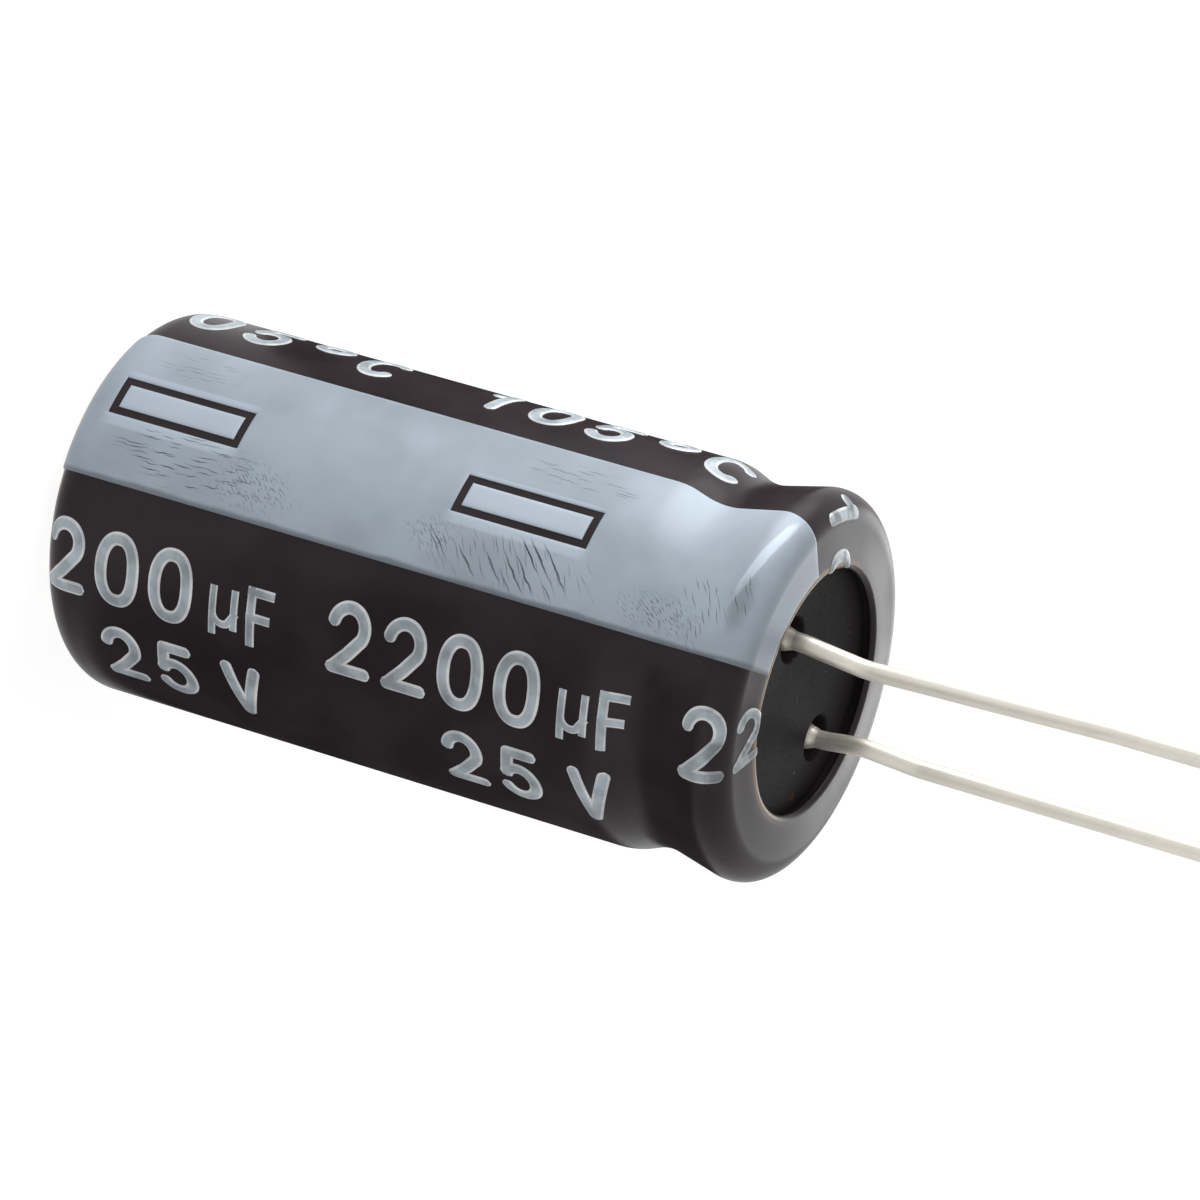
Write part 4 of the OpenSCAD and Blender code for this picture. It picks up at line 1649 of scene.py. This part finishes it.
def add_floor(settings, finish):
    """Plain pale floor that keeps the part's shadow."""
    half = settings.floor_w / 2
    corners = [(-half, -half), (half, -half), (half, half), (-half, half)]
    floor = new_object("floor", [(x, y, FLOOR_Z) for x, y in corners], [(0, 1, 2, 3)])
    wiring = stage_material(floor, "pale_floor")
    matt = wiring.of("ShaderNodeBsdfDiffuse", {"Color": opaque(finish.floor)})
    strength = white_strength(wiring, settings.world_light)
    glow = wiring.of(
        "ShaderNodeEmission", {"Color": WHITE, "Strength": strength * settings.floor_glow})
    wiring.show(wiring.of("ShaderNodeAddShader", {0: matt, 1: glow}))


# Dark cards on the floor beside the part, seen in reflections only: the turn of the middle from
# the anode lead in degrees, then the near end, the far end and half the width in millimetres
CARDS = [(-58, 7.5, 54, 56), (66, 7.5, 54, 24)]
CARD_Z = 0.3 * MM


def add_dark_cards():
    """Cards that keep the film's lower side dark, as in a studio."""
    corners = []
    for degrees, near, far, half in CARDS:
        turn = math.radians(degrees)
        out = Vector((math.cos(turn), math.sin(turn), 0)) * MM
        side = Vector((-out.y, out.x, 0)) * half
        lift = Vector((0, 0, CARD_Z * (1 + len(corners) / 4)))
        corners += [out * near - side + lift, out * far - side + lift,
                    out * far + side + lift, out * near + side + lift]
    faces = [tuple(range(first, first + 4)) for first in range(0, len(corners), 4)]
    cards = new_object("dark_cards", corners, faces)
    cards.visible_camera = False
    cards.visible_diffuse = False
    cards.visible_transmission = False
    cards.visible_shadow = False
    wiring = stage_material(cards, "dark_card")
    wiring.show(wiring.of("ShaderNodeBsdfDiffuse", {"Color": CARD_BLACK}))


CAN_MIDDLE = Vector((0, 0, 12.5 * MM))

# Lamps: turn from the anode lead in degrees, then distance from the axis, height and width in
# millimetres, and power in watts
LAMPS = [
    {"name": "key", "azimuth": 128, "away": 38, "height": 24, "width": 34, "power": 0.0112},
    {"name": "fill", "azimuth": 258, "away": 290, "height": 60, "width": 250, "power": 0.1},
    {"name": "back", "azimuth": 42, "away": 240, "height": 78, "width": 120, "power": 0.12},
]


def add_lamp(name, azimuth, away, height, width, power):
    """A soft round lamp that looks at the middle of the can."""
    lamp = bpy.data.lights.new(name, "AREA")
    lamp.shape = "DISK"
    lamp.size = width * MM
    lamp.energy = power
    holder = bpy.data.objects.new(name, lamp)
    turn = math.radians(azimuth)
    holder.location = Vector((away * math.cos(turn), away * math.sin(turn), height)) * MM
    way = holder.location - CAN_MIDDLE
    holder.rotation_euler = way.to_track_quat("Z", "Y").to_euler()
    holder.visible_camera = False
    bpy.context.scene.collection.objects.link(holder)


# The camera's axes and place, from the tilt of the can towards it, the slope of the can in the
# picture and where the can's middle lies in it
TILT = math.radians(23.957)
SLOPE = math.radians(16.272)
MIDDLE_IN_VIEW = Vector((-4.185, -0.276, 203.618)) * MM


def add_camera(scene, settings):
    """Camera at the photograph's viewing angle."""
    axis = Vector((math.cos(SLOPE) * math.cos(TILT), math.sin(SLOPE) * math.cos(TILT),
                   -math.sin(TILT)))
    low = Vector((-math.sin(SLOPE), math.cos(SLOPE), 0))
    deep = axis.cross(low)
    cos, sin = math.cos(settings.azimuth), math.sin(settings.azimuth)
    anode = low * cos - deep * sin
    beside = low * sin + deep * cos
    camera = bpy.data.cameras.new("camera")
    camera.sensor_width = 36
    camera.lens = settings.lens
    camera.clip_start = 0.001
    camera.clip_end = 10
    holder = bpy.data.objects.new("camera", camera)
    right = Vector((anode.x, beside.x, axis.x))
    up = -Vector((anode.y, beside.y, axis.y))
    back = -Vector((anode.z, beside.z, axis.z))
    place = -Vector((MIDDLE_IN_VIEW.dot(anode), MIDDLE_IN_VIEW.dot(beside),
                     MIDDLE_IN_VIEW.dot(axis)))
    matrix = holder.matrix_world.copy()
    for row in range(3):
        matrix[row][0], matrix[row][1], matrix[row][2] = right[row], up[row], back[row]
        matrix[row][3] = place[row] + CAN_MIDDLE[row]
    holder.matrix_world = matrix
    scene.collection.objects.link(holder)
    scene.camera = holder


class CAPACITOR_PT_panel(Panel):
    """Lists the sizes, the finishes and the pieces"""

    bl_label = "Electrolytic capacitor"
    bl_idname = "CAPACITOR_PT_panel"
    bl_space_type = "VIEW_3D"
    bl_region_type = "UI"
    bl_category = "Capacitor"

    def draw(self, context):
        layout = self.layout
        for operator in OPERATORS:
            layout.operator(operator.bl_idname)
        for name, group in SETTINGS.items():
            box = layout.box()
            box.label(text=group.__doc__)
            for key in group.__annotations__:
                box.prop(getattr(context.scene, name), key)


OPERATORS = [
    CAPACITOR_OT_stage,
    CAPACITOR_OT_sleeve,
    CAPACITOR_OT_stripe,
    CAPACITOR_OT_rating,
    CAPACITOR_OT_seal,
    CAPACITOR_OT_leads,
    CAPACITOR_OT_dress_inside,
]


def register():
    """Adds the settings, the operators and the panel."""
    for cls in [*SETTINGS.values(), *OPERATORS, CAPACITOR_PT_panel]:
        bpy.utils.register_class(cls)
    for name, group in SETTINGS.items():
        setattr(bpy.types.Scene, name, PointerProperty(type=group))


def unregister():
    """Takes them away again."""
    for name in SETTINGS:
        delattr(bpy.types.Scene, name)
    for cls in [CAPACITOR_PT_panel, *OPERATORS[::-1], *list(SETTINGS.values())[::-1]]:
        bpy.utils.unregister_class(cls)


def main():
    """Registers the add-on and runs every operator."""
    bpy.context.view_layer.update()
    register()
    for operator in OPERATORS:
        family, name = operator.bl_idname.split(".")
        getattr(getattr(bpy.ops, family), name)()


if __name__ == "__main__":
    main()
